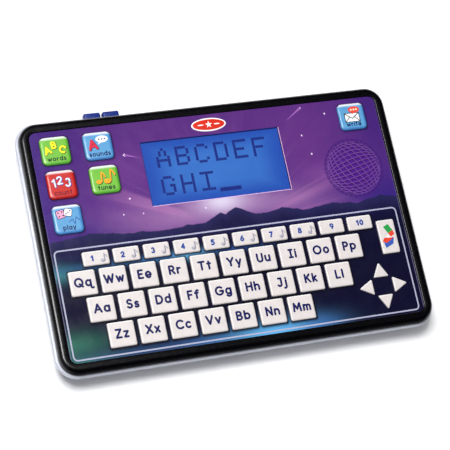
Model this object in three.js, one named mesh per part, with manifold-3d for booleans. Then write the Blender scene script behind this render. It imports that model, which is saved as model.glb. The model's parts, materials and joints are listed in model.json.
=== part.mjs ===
// Toy tablet computer with a keyboard: a thin slate with a display, keys, mode buttons and a speaker.
// Units are millimetres, +Z is up, and the slate lies flat on its feet. X runs along the key rows and
// +Y points to the far edge. The whole group is shifted in Y so that its origin is the centre of the
// bounding box, whose far side is set by the two edge buttons.
import * as THREE from 'three';
import { mergeVertices } from 'three/addons/utils/BufferGeometryUtils.js';
import Module from 'manifold-3d';

const wasm = await Module();
wasm.setup();

// ---------------------------------------------------------------- driving dimensions

const GAP = 0.3;                    // running or assembly gap between neighbouring pieces

// Levels, from the surface that the feet rest on
const FLOOR_Z = 1.2;                // underside of the rear cover, which is also the foot height
const FLOOR_THICKNESS = 2.6;
const COVER_TOP_Z = 17.8;
const BEZEL_BOTTOM_Z = COVER_TOP_Z + GAP;
const PANEL_TOP_Z = 23.4;
const PANEL_THICKNESS = 2.0;
const PANEL_BOTTOM_Z = PANEL_TOP_Z - PANEL_THICKNESS;
const BEZEL_TOP_Z = 24.3;
const KEY_TOP_Z = 24.6;
const BOARD_BOTTOM_Z = 16.3;
const BOARD_THICKNESS = 1.6;
const BOARD_TOP_Z = BOARD_BOTTOM_Z + BOARD_THICKNESS;

// Outlines, centred on the face panel
const BEZEL_WIDTH = 252.6;
const BEZEL_DEPTH = 165.4;
const BEZEL_RADIUS = 12.5;
const BEZEL_WALL = 2.0;
const BEZEL_EDGE_WIDTH = 3.2;       // the rounded top edge: its half-axes
const BEZEL_EDGE_HEIGHT = 3.5;
const LEDGE_WIDTH = 2.2;            // the ledge under the face panel
const LEDGE_THICKNESS = 1.5;
const COVER_WIDTH = 256;             // its rim stands out around the bezel as a narrow lip
const COVER_DEPTH = 168.8;
const COVER_RADIUS = 14.2;
const COVER_WALL = 3.4;
const COVER_LIP = 1.1;              // rounding of the rim's outer edge
// The underside curves in from a waist height by a sweep, outside and inside
const COVER_OUTSIDE = { inset: 0, sweep: 20, bottomZ: FLOOR_Z, waistZ: COVER_TOP_Z - COVER_LIP };
const COVER_INSIDE = { inset: COVER_WALL, sweep: 17, bottomZ: FLOOR_Z + FLOOR_THICKNESS, waistZ: 14 };
const PANEL_WIDTH = 239;
const PANEL_DEPTH = 153;
const PANEL_RADIUS = 4.5;

// Keys
const KEY_PITCH = 20;
const ROW_PITCH = 17.9;
const KEY_WIDTH = 17.2;
const KEY_DEPTH = 16.2;
const KEY_RADIUS = 1.1;
const LETTER_ROWS = [
  { keys: 'qwertyuiop', x: -102.9 },
  { keys: 'asdfghjkl', x: -94.2 },
  { keys: 'zxcvbnm', x: -84.6 },
];
const TOP_LETTER_ROW_Y = -26.1;
const NUMBER_ROW = { count: 10, x: -91.8, y: -11.1, depth: 9.4 };
const ERASE_KEY = { x: 105.9, y: -23, width: 12.4, depth: 23.1 };
const ARROWS = { x: 94.5, y: -55.6, halfBase: 4.9, radius: 0.6 };
const ARROW_KEYS = [
  { name: 'up', turn: 0, tip: 15.6, base: 6.1 },
  { name: 'left', turn: 90, tip: 16.5, base: 7.2 },
  { name: 'down', turn: 180, tip: 15.6, base: 6.1 },
  { name: 'right', turn: 270, tip: 16.5, base: 7.2 },
];
const CAP_FLANGE = { width: 0.6, thickness: 1.0 };
const CAP_BEVEL = { width: 0.7, height: 0.5 };
const MAT_THICKNESS = 0.8;
const DOME_HEIGHT = 0.8;

// Mode buttons
const BUTTON_SIZE = 18.7;
const BUTTON_RADIUS = 3.2;
const MODE_BUTTONS = [
  { name: 'letters', x: -104.3, y: 62.6 },
  { name: 'phonics', x: -76, y: 62.6 },
  { name: 'numbers', x: -104.3, y: 39.7 },
  { name: 'music', x: -76, y: 39.7 },
  { name: 'games', x: -104.6, y: 16.4 },
  { name: 'typing', x: 100.9, y: 63 },
];

// Push buttons on the far edge
const EDGE_BUTTON = { width: 11.4, height: 6, radius: 1.6, z: 13.2, protrusion: 4, flange: 0.5 };
const EDGE_BUTTON_STEM = { inset: 1, length: 1.4, flangeThickness: 1.5 };
const EDGE_BUTTON_POCKET = 5;       // depth of the pocket in the inside of the wall behind each button
const EDGE_BUTTONS = [
  { name: 'power_button', x: -74 },
  { name: 'volume_button', x: -61.4 },
];

// Display
const DISPLAY = { x: -0.5, y: 39.9, width: 94.6, depth: 43 };
const LENS_THICKNESS = 0.6;
const LENS_TOP_Z = 23.2;
const MODULE_BORDER = 4.5;

// Speaker and the globe-patterned grille above it
const SPEAKER = { x: 93.8, y: 27.2, radius: 18, magnetRadius: 9, bottomZ: 9.8 };
const GRILLE_RADIUS = 20.6;
const GRILLE_RIB = 0.7;
const GRILLE_THICKNESS = 0.8;       // the panel is thinner behind the grille
// Two families of great circles cross on the globe: the direction of each family's poles on the
// globe's rim, and the angle from one circle to the next, in degrees
const GRILLE_STEEP = { pole: -58, step: 12.5, lines: 13 };
const GRILLE_GENTLE = { pole: 14, step: 9, lines: 17 };
const GRILLE_LIMIT_COSINE = 0.3;    // cells nearer the globe's rim than this are left closed
const GRILLE_SMALLEST_HOLE = 0.55;

// Battery compartment, with three cells lying along X
const CELL = { radius: 5.25, length: 44.5, pitch: 11.3, z: 9.4 };
const COMPARTMENT = { x: -4, y: 30, width: 54, depth: 36, topZ: 14.9, wall: 1.5, roofZ: 16.0 };
const DOOR = { x: 0, y: 30, width: 66, depth: 42, radius: 3 };
const COLLAR_WIDTH = 2;
const COLLAR_TOP_Z = 5.6;
const DOOR_SCREW = { x: 28.4, headRadius: 2.8, shankRadius: 1.3, headBottomZ: 1.4, headTopZ: 2.2, tipZ: 9.5 };
const DOOR_BOSS = { radius: 4, topZ: 12 };

// Feet, case-screw bosses and board posts
const FEET = { x: 98, y: 55, radius: 6 };
const CASE_SCREWS = [[-118.6, -62], [118.6, -62], [-118.6, 62], [118.6, 62], [0, -75], [0, 75]];
const CASE_BOSS = { radius: 3.8, wellRadius: 2.8, wellTopZ: 12, holeRadius: 1.4 };
const BEZEL_BOSS = { radius: 2.9, pilotRadius: 1.1 };
const BOARD = { width: 228, depth: 141.4, radius: 4 };
const BOARD_POSTS = [[-96, -58], [0, -62], [96, -58], [-60, -8], [62, -8], [-52, 62], [62, 62]];
const POST_RADIUS = 2.5;

// ---------------------------------------------------------------- outlines

/** The four corners of a rectangle, anticlockwise. */
function rectangle(x, y, width, depth) {
  const halfWidth = width / 2;
  const halfDepth = depth / 2;
  return [
    new THREE.Vector2(x - halfWidth, y - halfDepth),
    new THREE.Vector2(x + halfWidth, y - halfDepth),
    new THREE.Vector2(x + halfWidth, y + halfDepth),
    new THREE.Vector2(x - halfWidth, y + halfDepth),
  ];
}

/** A regular polygon that stands for a circle. */
function circle(x, y, radius, sides = 16) {
  const points = [];
  for (let i = 0; i < sides; i += 1) {
    const angle = (2 * Math.PI * i) / sides;
    points.push(new THREE.Vector2(x + radius * Math.cos(angle), y + radius * Math.sin(angle)));
  }
  return points;
}

/** Moves every side of a convex anticlockwise polygon outwards by a distance, or inwards if negative. */
function grow(corners, distance) {
  return corners.map((corner, i) => {
    const before = corners[(i + corners.length - 1) % corners.length];
    const after = corners[(i + 1) % corners.length];
    const along = corner.clone().sub(before).normalize();
    const onwards = after.clone().sub(corner).normalize();
    const normal = new THREE.Vector2(along.y, -along.x);
    const nextNormal = new THREE.Vector2(onwards.y, -onwards.x);
    const middle = normal.clone().add(nextNormal).normalize();
    return corner.clone().addScaledVector(middle, distance / middle.dot(normal));
  });
}

/** Replaces each corner of a convex polygon with an arc of the given radius. */
function rounded(corners, radius, steps) {
  const points = [];
  corners.forEach((corner, i) => {
    const before = corners[(i + corners.length - 1) % corners.length];
    const after = corners[(i + 1) % corners.length];
    const back = before.clone().sub(corner).normalize();
    const onwards = after.clone().sub(corner).normalize();
    const halfAngle = Math.acos(back.dot(onwards)) / 2;
    const bisector = back.clone().add(onwards).normalize();
    const centre = corner.clone().addScaledVector(bisector, radius / Math.sin(halfAngle));
    const from = corner.clone().addScaledVector(back, radius / Math.tan(halfAngle)).sub(centre);
    const sweep = Math.PI - 2 * halfAngle;
    for (let k = 0; k <= steps; k += 1) {
      points.push(from.clone().rotateAround(new THREE.Vector2(), (sweep * k) / steps).add(centre));
    }
  });
  return points;
}

/** A rounded rectangle whose sides are moved in by inset, with a corner radius that shrinks with it. */
function insetOutline(width, depth, radius, inset, steps) {
  const corners = rectangle(0, 0, width - 2 * inset, depth - 2 * inset);
  return rounded(corners, Math.max(radius - inset, 0.8), steps);
}

// ---------------------------------------------------------------- solids

/** Turns a closed geometry into a solid that can be joined and cut. */
function toSolid(geometry) {
  const bare = geometry.index ? geometry.toNonIndexed() : geometry.clone();
  bare.deleteAttribute('normal');
  bare.deleteAttribute('uv');
  const merged = mergeVertices(bare, 1e-4);
  return new wasm.Manifold(new wasm.Mesh({
    numProp: 3,
    vertProperties: new Float32Array(merged.attributes.position.array),
    triVerts: new Uint32Array(merged.index.array),
  }));
}

/** A closed geometry through outlines of equal point count, each with its own height. */
function loftGeometry(rings) {
  const count = rings[0].points.length;
  const positions = rings.flatMap(({ points, z }) => points.flatMap((p) => [p.x, p.y, z]));
  const index = [];
  for (let level = 0; level + 1 < rings.length; level += 1) {
    for (let i = 0; i < count; i += 1) {
      const a = level * count + i;
      const b = level * count + ((i + 1) % count);
      index.push(a, b, b + count, a, b + count, a + count);
    }
  }
  const top = (rings.length - 1) * count;
  for (const [a, b, c] of THREE.ShapeUtils.triangulateShape(rings[0].points, [])) {
    index.push(c, b, a);
  }
  for (const [a, b, c] of THREE.ShapeUtils.triangulateShape(rings[rings.length - 1].points, [])) {
    index.push(top + a, top + b, top + c);
  }
  const geometry = new THREE.BufferGeometry();
  geometry.setAttribute('position', new THREE.Float32BufferAttribute(positions, 3));
  geometry.setIndex(index);
  return geometry;
}

function loft(rings) {
  return toSolid(loftGeometry(rings));
}

/** An upright prism on an outline, from one height to another. */
function prism(points, bottom, top) {
  return loft([{ points, z: bottom }, { points, z: top }]);
}

/** A box between two opposite corners. */
function box(x0, y0, z0, x1, y1, z1) {
  return prism(rectangle((x0 + x1) / 2, (y0 + y1) / 2, x1 - x0, y1 - y0), z0, z1);
}

/** A round bar along X. */
function barAlongX(x0, x1, y, z, radius, sides) {
  const geometry = new THREE.CylinderGeometry(radius, radius, x1 - x0, sides);
  geometry.rotateZ(-Math.PI / 2);
  geometry.translate((x0 + x1) / 2, y, z);
  return toSolid(geometry);
}

function join(first, others) {
  return others.reduce((solid, other) => solid.add(other), first);
}

function cut(first, others) {
  return others.reduce((solid, other) => solid.subtract(other), first);
}

/** The geometry of a solid. */
function toGeometry(solid) {
  const { vertProperties, triVerts } = solid.getMesh();
  const geometry = new THREE.BufferGeometry();
  geometry.setAttribute('position', new THREE.Float32BufferAttribute(vertProperties, 3));
  geometry.setIndex(new THREE.Uint32BufferAttribute(triVerts, 1));
  return geometry;
}

// ---------------------------------------------------------------- assembly

const tablet = new THREE.Group();
tablet.position.y = -EDGE_BUTTON.protrusion / 2;

function plastic(color, roughness = 0.35) {
  return new THREE.MeshStandardMaterial({ color, roughness, metalness: 0 });
}

function metal(color, roughness = 0.35) {
  return new THREE.MeshStandardMaterial({ color, roughness, metalness: 1 });
}

function addPiece(name, geometry, material, parent = tablet) {
  const mesh = new THREE.Mesh(geometry, material);
  mesh.name = name;
  parent.add(mesh);
  return mesh;
}

// ---------------------------------------------------------------- keys and buttons

/** Where every key and mode button is: its corner points, corner radius and the size of its dome. */
function keyPlaces() {
  const places = [];
  LETTER_ROWS.forEach((row, r) => {
    [...row.keys].forEach((letter, i) => {
      const y = TOP_LETTER_ROW_Y - r * ROW_PITCH;
      const corners = rectangle(row.x + i * KEY_PITCH, y, KEY_WIDTH, KEY_DEPTH);
      places.push({ name: `key_${letter}`, corners, radius: KEY_RADIUS, dome: 3 });
    });
  });
  for (let i = 0; i < NUMBER_ROW.count; i += 1) {
    const x = NUMBER_ROW.x + i * KEY_PITCH;
    const corners = rectangle(x, NUMBER_ROW.y, KEY_WIDTH, NUMBER_ROW.depth);
    places.push({ name: `key_${i + 1}`, corners, radius: KEY_RADIUS, dome: 3 });
  }
  const { x, y, width, depth } = ERASE_KEY;
  places.push({ name: 'key_erase', corners: rectangle(x, y, width, depth), radius: KEY_RADIUS, dome: 3 });
  for (const arrow of ARROW_KEYS) {
    const outline = [
      new THREE.Vector2(-ARROWS.halfBase, arrow.base),
      new THREE.Vector2(ARROWS.halfBase, arrow.base),
      new THREE.Vector2(0, arrow.tip),
    ];
    const centre = new THREE.Vector2(ARROWS.x, ARROWS.y);
    const turn = THREE.MathUtils.degToRad(arrow.turn);
    const corners = outline.map((p) => p.rotateAround(new THREE.Vector2(), turn).add(centre));
    places.push({ name: `key_${arrow.name}`, corners, radius: ARROWS.radius, dome: 1.8 });
  }
  for (const button of MODE_BUTTONS) {
    const corners = rectangle(button.x, button.y, BUTTON_SIZE, BUTTON_SIZE);
    places.push({ name: `button_${button.name}`, corners, radius: BUTTON_RADIUS, dome: 3.5 });
  }
  return places;
}

/** A cap with a retaining flange below the face panel and a bevelled crown above it. */
function capGeometry(place) {
  const steps = place.radius > 2 ? 3 : 1;
  const ring = (distance, z) => ({
    points: rounded(grow(place.corners, distance), place.radius, steps),
    z,
  });
  const flangeTop = PANEL_BOTTOM_Z - GAP;
  return loftGeometry([
    ring(CAP_FLANGE.width, flangeTop - CAP_FLANGE.thickness),
    ring(CAP_FLANGE.width, flangeTop),
    ring(0, flangeTop),
    ring(0, KEY_TOP_Z - CAP_BEVEL.height),
    ring(-CAP_BEVEL.width, KEY_TOP_Z),
  ]);
}

const MODE_COLOURS = {
  button_letters: 0x5db327,
  button_phonics: 0x3f8fd0,
  button_numbers: 0xd22a26,
  button_music: 0x5db327,
  button_games: 0x3f8fd0,
  button_typing: 0x3f8fd0,
};

function addKeys(places) {
  for (const place of places) {
    addPiece(place.name, capGeometry(place), plastic(MODE_COLOURS[place.name] ?? 0xe9e6ea, 0.4));
  }
}

/** The middle of a polygon. */
function centreOf(corners) {
  const sum = corners.reduce((total, corner) => total.add(corner), new THREE.Vector2());
  return sum.divideScalar(corners.length);
}

/** One rubber sheet with a dome under every key, in three zones that a strip and the keyboard join. */
function keyMatGeometry(places) {
  const bottom = BOARD_TOP_Z + GAP;
  const top = bottom + MAT_THICKNESS;
  const zones = [
    box(-113, -70.6, bottom, 113, -4.5, top),
    box(-113.5, -6, bottom, -65, 72, top),
    box(-66, 67.6, bottom, 90, 72, top),
    box(89, 52.5, bottom, 112, 72, top),
  ];
  const domes = places.map(({ corners, dome }) => {
    const { x, y } = centreOf(corners);
    return loft([
      { points: circle(x, y, dome, 8), z: top - DOME_HEIGHT / 2 },
      { points: circle(x, y, dome, 8), z: top },
      { points: circle(x, y, dome * 0.7, 8), z: top + DOME_HEIGHT },
    ]);
  });
  return toGeometry(join(zones[0], [...zones.slice(1), ...domes]));
}

/** A push button along Y: flange inside the wall, and a crown with a rounded outline outside it. */
function edgeButtonGeometry({ x }) {
  const { width, height, radius, z, protrusion, flange } = EDGE_BUTTON;
  const wallInside = COVER_DEPTH / 2 - COVER_WALL;
  const tip = COVER_DEPTH / 2 + protrusion;
  const ring = (distance, y) => ({
    points: rounded(grow(rectangle(0, 0, width, height), distance), radius, 2),
    z: y,
  });
  const flangeOuter = wallInside - GAP;
  const flangeInner = flangeOuter - EDGE_BUTTON_STEM.flangeThickness;
  const geometry = loftGeometry([
    ring(-EDGE_BUTTON_STEM.inset, flangeInner - EDGE_BUTTON_STEM.length),
    ring(-EDGE_BUTTON_STEM.inset, flangeInner),
    ring(flange, flangeInner),
    ring(flange, flangeOuter),
    ring(0, flangeOuter),
    ring(0, tip - 0.8),
    ring(-0.8, tip),
  ]);
  geometry.rotateX(-Math.PI / 2);
  geometry.translate(x, 0, z);
  return geometry;
}

function addEdgeButtons() {
  for (const button of EDGE_BUTTONS) {
    addPiece(button.name, edgeButtonGeometry(button), plastic(0x2a54a8, 0.4));
  }
}

// ---------------------------------------------------------------- case

function coverOutline(inset) {
  return insetOutline(COVER_WIDTH, COVER_DEPTH, COVER_RADIUS, inset, 6);
}

/** The outline rings of a curved underside, from its floor out to its waist. */
function sweptRings({ inset, sweep, bottomZ, waistZ }) {
  const steps = 7;
  const rings = [];
  for (let k = 0; k <= steps; k += 1) {
    const angle = (Math.PI / 2) * (k / steps);
    rings.push({
      points: coverOutline(inset + sweep * (1 - Math.sin(angle))),
      z: bottomZ + (waistZ - bottomZ) * (1 - Math.cos(angle)),
    });
  }
  return rings;
}

/** The outside of the cover, with the outer edge of its rim rounded in two steps. */
function coverOutside() {
  const turned = COVER_LIP * (1 - Math.SQRT1_2);
  return loft([
    ...sweptRings(COVER_OUTSIDE),
    { points: coverOutline(turned), z: COVER_TOP_Z - turned },
    { points: coverOutline(COVER_LIP), z: COVER_TOP_Z },
  ]);
}

function coverInside() {
  return loft([
    ...sweptRings(COVER_INSIDE),
    { points: coverOutline(COVER_WALL), z: COVER_TOP_Z + 1 },
  ]);
}

function coverBosses() {
  const solids = [];
  const bossBottom = FLOOR_Z + FLOOR_THICKNESS / 2;
  for (const [x, y] of CASE_SCREWS) {
    solids.push(prism(circle(x, y, CASE_BOSS.radius), bossBottom, COVER_TOP_Z));
  }
  for (const [x, y] of BOARD_POSTS) {
    solids.push(prism(circle(x, y, POST_RADIUS, 10), bossBottom, BOARD_BOTTOM_Z - GAP));
  }
  return solids;
}

function coverFeet() {
  const solids = [];
  for (const x of [-FEET.x, FEET.x]) {
    for (const y of [-FEET.y, FEET.y]) {
      solids.push(prism(circle(x, y, FEET.radius, 20), 0, FLOOR_Z + FLOOR_THICKNESS / 2));
    }
  }
  return solids;
}

/** The walls, roof and collar of the battery compartment, before it is hollowed. */
function batteryBox() {
  const { x, y, width, depth, wall, roofZ } = COMPARTMENT;
  const shell = rectangle(x, y, width + 2 * wall, depth + 2 * wall);
  const collar = rectangle(DOOR.x, DOOR.y, DOOR.width, DOOR.depth);
  const bottom = FLOOR_Z + FLOOR_THICKNESS / 2;
  return [
    prism(shell, bottom, roofZ),
    prism(grow(collar, GAP + COLLAR_WIDTH), bottom, COLLAR_TOP_Z),
    prism(circle(DOOR_SCREW.x, DOOR.y, DOOR_BOSS.radius), bottom, DOOR_BOSS.topZ),
  ];
}

function batteryBoxHollows() {
  const { x, y, width, depth, topZ } = COMPARTMENT;
  const recess = rounded(grow(rectangle(DOOR.x, DOOR.y, DOOR.width, DOOR.depth), GAP), DOOR.radius, 3);
  const screwHole = circle(DOOR_SCREW.x, DOOR.y, DOOR_SCREW.shankRadius + GAP);
  return [
    prism(rectangle(x, y, width, depth), FLOOR_Z, topZ),
    prism(recess, -1, FLOOR_Z + FLOOR_THICKNESS),
    prism(screwHole, FLOOR_Z, DOOR_SCREW.tipZ + GAP),
  ];
}

/** Wells for the screws that hold the two halves of the case together. */
function caseScrewHoles() {
  return CASE_SCREWS.flatMap(([x, y]) => [
    prism(circle(x, y, CASE_BOSS.wellRadius), -1, CASE_BOSS.wellTopZ),
    prism(circle(x, y, CASE_BOSS.holeRadius, 10), 0, COVER_TOP_Z + 1),
  ]);
}

/** A prism along Y on an outline that is centred on an edge button. */
function alongY(outline, x, near, far) {
  const geometry = loftGeometry([{ points: outline, z: near }, { points: outline, z: far }]);
  geometry.rotateX(-Math.PI / 2);
  geometry.translate(x, 0, EDGE_BUTTON.z);
  return toSolid(geometry);
}

/** The windows in the far wall that the edge buttons pass through, and the pockets for their flanges. */
function edgeButtonWindows() {
  const { width, height, radius, flange } = EDGE_BUTTON;
  const wallInside = COVER_DEPTH / 2 - COVER_WALL;
  const crown = rectangle(0, 0, width, height);
  return EDGE_BUTTONS.flatMap(({ x }) => [
    alongY(rounded(grow(crown, GAP), radius, 2), x, wallInside - 1, wallInside + COVER_WALL + 1),
    alongY(grow(crown, flange + GAP), x, wallInside - EDGE_BUTTON_POCKET, wallInside),
  ]);
}

function rearCoverGeometry() {
  const outside = coverOutside();
  const bosses = coverBosses().map((boss) => boss.intersect(outside));
  const walled = join(outside.subtract(coverInside()), [...batteryBox(), ...bosses, ...coverFeet()]);
  const hollowed = cut(walled, [...batteryBoxHollows(), ...caseScrewHoles(), ...edgeButtonWindows()]);
  return toGeometry(hollowed);
}

function bezelRings() {
  const steps = 5;
  const outline = (inset) => insetOutline(BEZEL_WIDTH, BEZEL_DEPTH, BEZEL_RADIUS, inset, 6);
  const shoulder = BEZEL_TOP_Z - BEZEL_EDGE_HEIGHT;
  const rings = [{ points: outline(0), z: BEZEL_BOTTOM_Z }];
  for (let k = 0; k <= steps; k += 1) {
    const angle = (Math.PI / 2) * (k / steps);
    const inset = BEZEL_EDGE_WIDTH * (1 - Math.cos(angle));
    rings.push({ points: outline(inset), z: shoulder + BEZEL_EDGE_HEIGHT * Math.sin(angle) });
  }
  return rings;
}

function frontBezelGeometry() {
  const ledgeTop = PANEL_BOTTOM_Z - GAP;
  const ledgeBottom = ledgeTop - LEDGE_THICKNESS;
  const panelHole = insetOutline(PANEL_WIDTH, PANEL_DEPTH, PANEL_RADIUS, -GAP, 4);
  const ledgeHole = insetOutline(PANEL_WIDTH, PANEL_DEPTH, PANEL_RADIUS, LEDGE_WIDTH, 4);
  const inside = insetOutline(BEZEL_WIDTH, BEZEL_DEPTH, BEZEL_RADIUS, BEZEL_WALL, 6);
  const bosses = CASE_SCREWS.map(([x, y]) =>
    prism(circle(x, y, BEZEL_BOSS.radius), BEZEL_BOTTOM_Z, ledgeTop));
  const pilots = CASE_SCREWS.map(([x, y]) =>
    prism(circle(x, y, BEZEL_BOSS.pilotRadius, 10), BEZEL_BOTTOM_Z - 1, ledgeTop - GAP));
  const frame = cut(loft(bezelRings()), [
    prism(inside, BEZEL_BOTTOM_Z - 1, ledgeBottom),
    prism(ledgeHole, ledgeBottom - 1, ledgeTop + 1),
    prism(panelHole, ledgeTop, BEZEL_TOP_Z + 1),
  ]);
  return toGeometry(cut(join(frame, bosses), pilots));
}

// ---------------------------------------------------------------- face panel and display

/** The normal of one great circle of a family, counted from the circle through the globe's middle. */
function circleNormal(family, line) {
  const pole = THREE.MathUtils.degToRad(family.pole);
  const lean = THREE.MathUtils.degToRad(family.step * line);
  const polar = new THREE.Vector3(Math.cos(pole), Math.sin(pole), 0);
  const across = new THREE.Vector3(-Math.sin(pole), Math.cos(pole), 0);
  const through = new THREE.Vector3(0, 0, Math.cos(lean)).addScaledVector(across, Math.sin(lean));
  return polar.cross(through);
}

/** The direction in which a steep and a gentle great circle cross on the globe's near side. */
function crossing(steepLine, gentleLine) {
  const point = circleNormal(GRILLE_STEEP, steepLine).cross(circleNormal(GRILLE_GENTLE, gentleLine));
  return point.normalize().multiplyScalar(Math.sign(point.z));
}

/** The cells between the globe's grid lines, seen from straight above, each as a four-sided hole. */
function grilleHoles() {
  const holes = [];
  const firstSteep = -(GRILLE_STEEP.lines - 1) / 2;
  const firstGentle = -(GRILLE_GENTLE.lines - 1) / 2;
  for (let i = firstSteep; i < -firstSteep; i += 1) {
    for (let j = firstGentle; j < -firstGentle; j += 1) {
      const directions = [crossing(i, j), crossing(i + 1, j), crossing(i + 1, j + 1), crossing(i, j + 1)];
      if (directions.some((d) => d.z < GRILLE_LIMIT_COSINE)) {
        continue;
      }
      const corners = directions.map(
        (d) => new THREE.Vector2(SPEAKER.x + GRILLE_RADIUS * d.x, SPEAKER.y + GRILLE_RADIUS * d.y),
      );
      if (THREE.ShapeUtils.area(corners) < 0) {
        corners.reverse();
      }
      const hole = grow(corners, -GRILLE_RIB / 2);
      const longest = Math.max(...hole.map((p, k) => p.distanceTo(hole[(k + 1) % hole.length])));
      if (THREE.ShapeUtils.area(hole) > longest * GRILLE_SMALLEST_HOLE) {
        holes.push(hole);
      }
    }
  }
  return holes;
}

function facePanelGeometry(places) {
  const bottom = PANEL_BOTTOM_Z - 1;
  const top = PANEL_TOP_Z + 1;
  const plate = prism(
    insetOutline(PANEL_WIDTH, PANEL_DEPTH, PANEL_RADIUS, 0, 4),
    PANEL_BOTTOM_Z,
    PANEL_TOP_Z,
  );
  const { x, y, width, depth } = DISPLAY;
  const window = rectangle(x, y, width, depth);
  const thinned = circle(SPEAKER.x, SPEAKER.y, GRILLE_RADIUS + GAP, 32);
  const keyHoles = places.map(({ corners, radius }) => {
    const grown = grow(corners, GAP);
    return prism(radius > 2 ? rounded(grown, radius, 3) : grown, bottom, top);
  });
  return toGeometry(cut(plate, [
    ...keyHoles,
    prism(grow(window, GAP), bottom, top),
    prism(thinned, bottom, PANEL_TOP_Z - GRILLE_THICKNESS),
    ...grilleHoles().map((hole) => prism(hole, bottom, top)),
  ]));
}

/** The display: a frame under the panel, and glass that rises into the window to meet the lens. */
function displayModuleGeometry() {
  const { x, y, width, depth } = DISPLAY;
  const frame = grow(rectangle(x, y, width, depth), MODULE_BORDER);
  const glass = rectangle(x, y, width, depth);
  const frameTop = PANEL_BOTTOM_Z - GAP;
  return loftGeometry([
    { points: frame, z: BOARD_TOP_Z + GAP },
    { points: frame, z: frameTop },
    { points: glass, z: frameTop },
    { points: glass, z: LENS_TOP_Z - LENS_THICKNESS - GAP },
  ]);
}

function lensGeometry() {
  const { x, y, width, depth } = DISPLAY;
  const window = rectangle(x, y, width, depth);
  return loftGeometry([
    { points: window, z: LENS_TOP_Z - LENS_THICKNESS },
    { points: window, z: LENS_TOP_Z },
  ]);
}

// ---------------------------------------------------------------- inner pieces

/** The speaker's basket, cone and magnet as one turned solid. */
function speakerGeometry() {
  const { x, y, radius, magnetRadius, bottomZ } = SPEAKER;
  const rimTop = PANEL_BOTTOM_Z - GAP;
  const profile = [
    [0, bottomZ],
    [magnetRadius, bottomZ],
    [magnetRadius, bottomZ + 4],
    [magnetRadius + 2, bottomZ + 4],
    [radius - 2, rimTop - 1.5],
    [radius, rimTop - 1.5],
    [radius, rimTop],
    [radius - 3, rimTop],
    [magnetRadius - 2, rimTop - 4],
    [0, rimTop - 3],
  ].map(([r, z]) => new THREE.Vector2(r, z));
  const geometry = new THREE.LatheGeometry(profile, 24);
  geometry.rotateX(Math.PI / 2);
  geometry.translate(x, y, 0);
  return toGeometry(toSolid(geometry));
}

/** The board with its speaker hole, the chips on its underside and the two side-push switches. */
function circuitBoardGeometry() {
  const outline = insetOutline(BOARD.width, BOARD.depth, BOARD.radius, 0, 2);
  const plate = prism(outline, BOARD_BOTTOM_Z, BOARD_TOP_Z);
  const chips = [
    box(-70, -40, BOARD_BOTTOM_Z - 2.2, -54, -28, BOARD_BOTTOM_Z + 0.5),
    box(20, -44, BOARD_BOTTOM_Z - 2.2, 38, -30, BOARD_BOTTOM_Z + 0.5),
    box(-50, -60, BOARD_BOTTOM_Z - 4, -42, -54, BOARD_BOTTOM_Z + 0.5),
  ];
  const capacitor = prism(circle(52, 30, 4, 12), BOARD_BOTTOM_Z - 7, BOARD_BOTTOM_Z + 0.5);
  const switches = EDGE_BUTTONS.map(({ x }) =>
    box(x - 3, 66, EDGE_BUTTON.z - 2, x + 3, 76.2, BOARD_BOTTOM_Z + 0.5));
  const speakerHole = prism(
    circle(SPEAKER.x, SPEAKER.y, SPEAKER.radius + 0.8, 24),
    BOARD_BOTTOM_Z - 1,
    BOARD_TOP_Z + 1,
  );
  return toGeometry(join(plate.subtract(speakerHole), [...chips, capacitor, ...switches]));
}

/** Three cells side by side with the springs and contact strips that link them in series. */
function batterySetGeometry() {
  const { radius, length, pitch, z } = CELL;
  const { x, y } = COMPARTMENT;
  const half = length / 2;
  const stripX = half + 3.4;
  const solids = [];
  for (const row of [-1, 0, 1]) {
    const cellY = y + row * pitch;
    solids.push(barAlongX(x - half, x + half, cellY, z, radius, 14));
    solids.push(barAlongX(x - stripX, x + stripX, cellY, z, 2.4, 8));
  }
  const strip = (side, fromRow, toRow) => {
    const inner = x + side * stripX;
    const outer = inner + side * 0.8;
    const low = y + fromRow * pitch - 4;
    const high = y + toRow * pitch + 4;
    return box(Math.min(inner, outer), low, z - 4, Math.max(inner, outer), high, z + 4);
  };
  solids.push(strip(1, -1, 0), strip(1, 1, 1), strip(-1, 0, 1), strip(-1, -1, -1));
  return toGeometry(join(solids[0], solids.slice(1)));
}

// ---------------------------------------------------------------- battery door

function batteryDoorGeometry() {
  const outline = rounded(rectangle(DOOR.x, DOOR.y, DOOR.width, DOOR.depth), DOOR.radius, 3);
  const top = FLOOR_Z + FLOOR_THICKNESS - GAP;
  const headHole = circle(DOOR_SCREW.x, DOOR.y, DOOR_SCREW.headRadius + GAP);
  const shankHole = circle(DOOR_SCREW.x, DOOR.y, DOOR_SCREW.shankRadius + GAP);
  return toGeometry(cut(prism(outline, FLOOR_Z, top), [
    prism(headHole, FLOOR_Z - 1, DOOR_SCREW.headTopZ + GAP),
    prism(shankHole, FLOOR_Z - 1, top + 1),
  ]));
}

function doorScrewGeometry() {
  const { headRadius, shankRadius, headBottomZ, headTopZ, tipZ, x } = DOOR_SCREW;
  const head = circle(x, DOOR.y, headRadius);
  const shank = circle(x, DOOR.y, shankRadius);
  return loftGeometry([
    { points: head, z: headBottomZ },
    { points: head, z: headTopZ },
    { points: shank, z: headTopZ },
    { points: shank, z: tipZ - 1 },
    { points: circle(x, DOOR.y, 0.4), z: tipZ },
  ]);
}

// ---------------------------------------------------------------- build

const places = keyPlaces();

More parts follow.
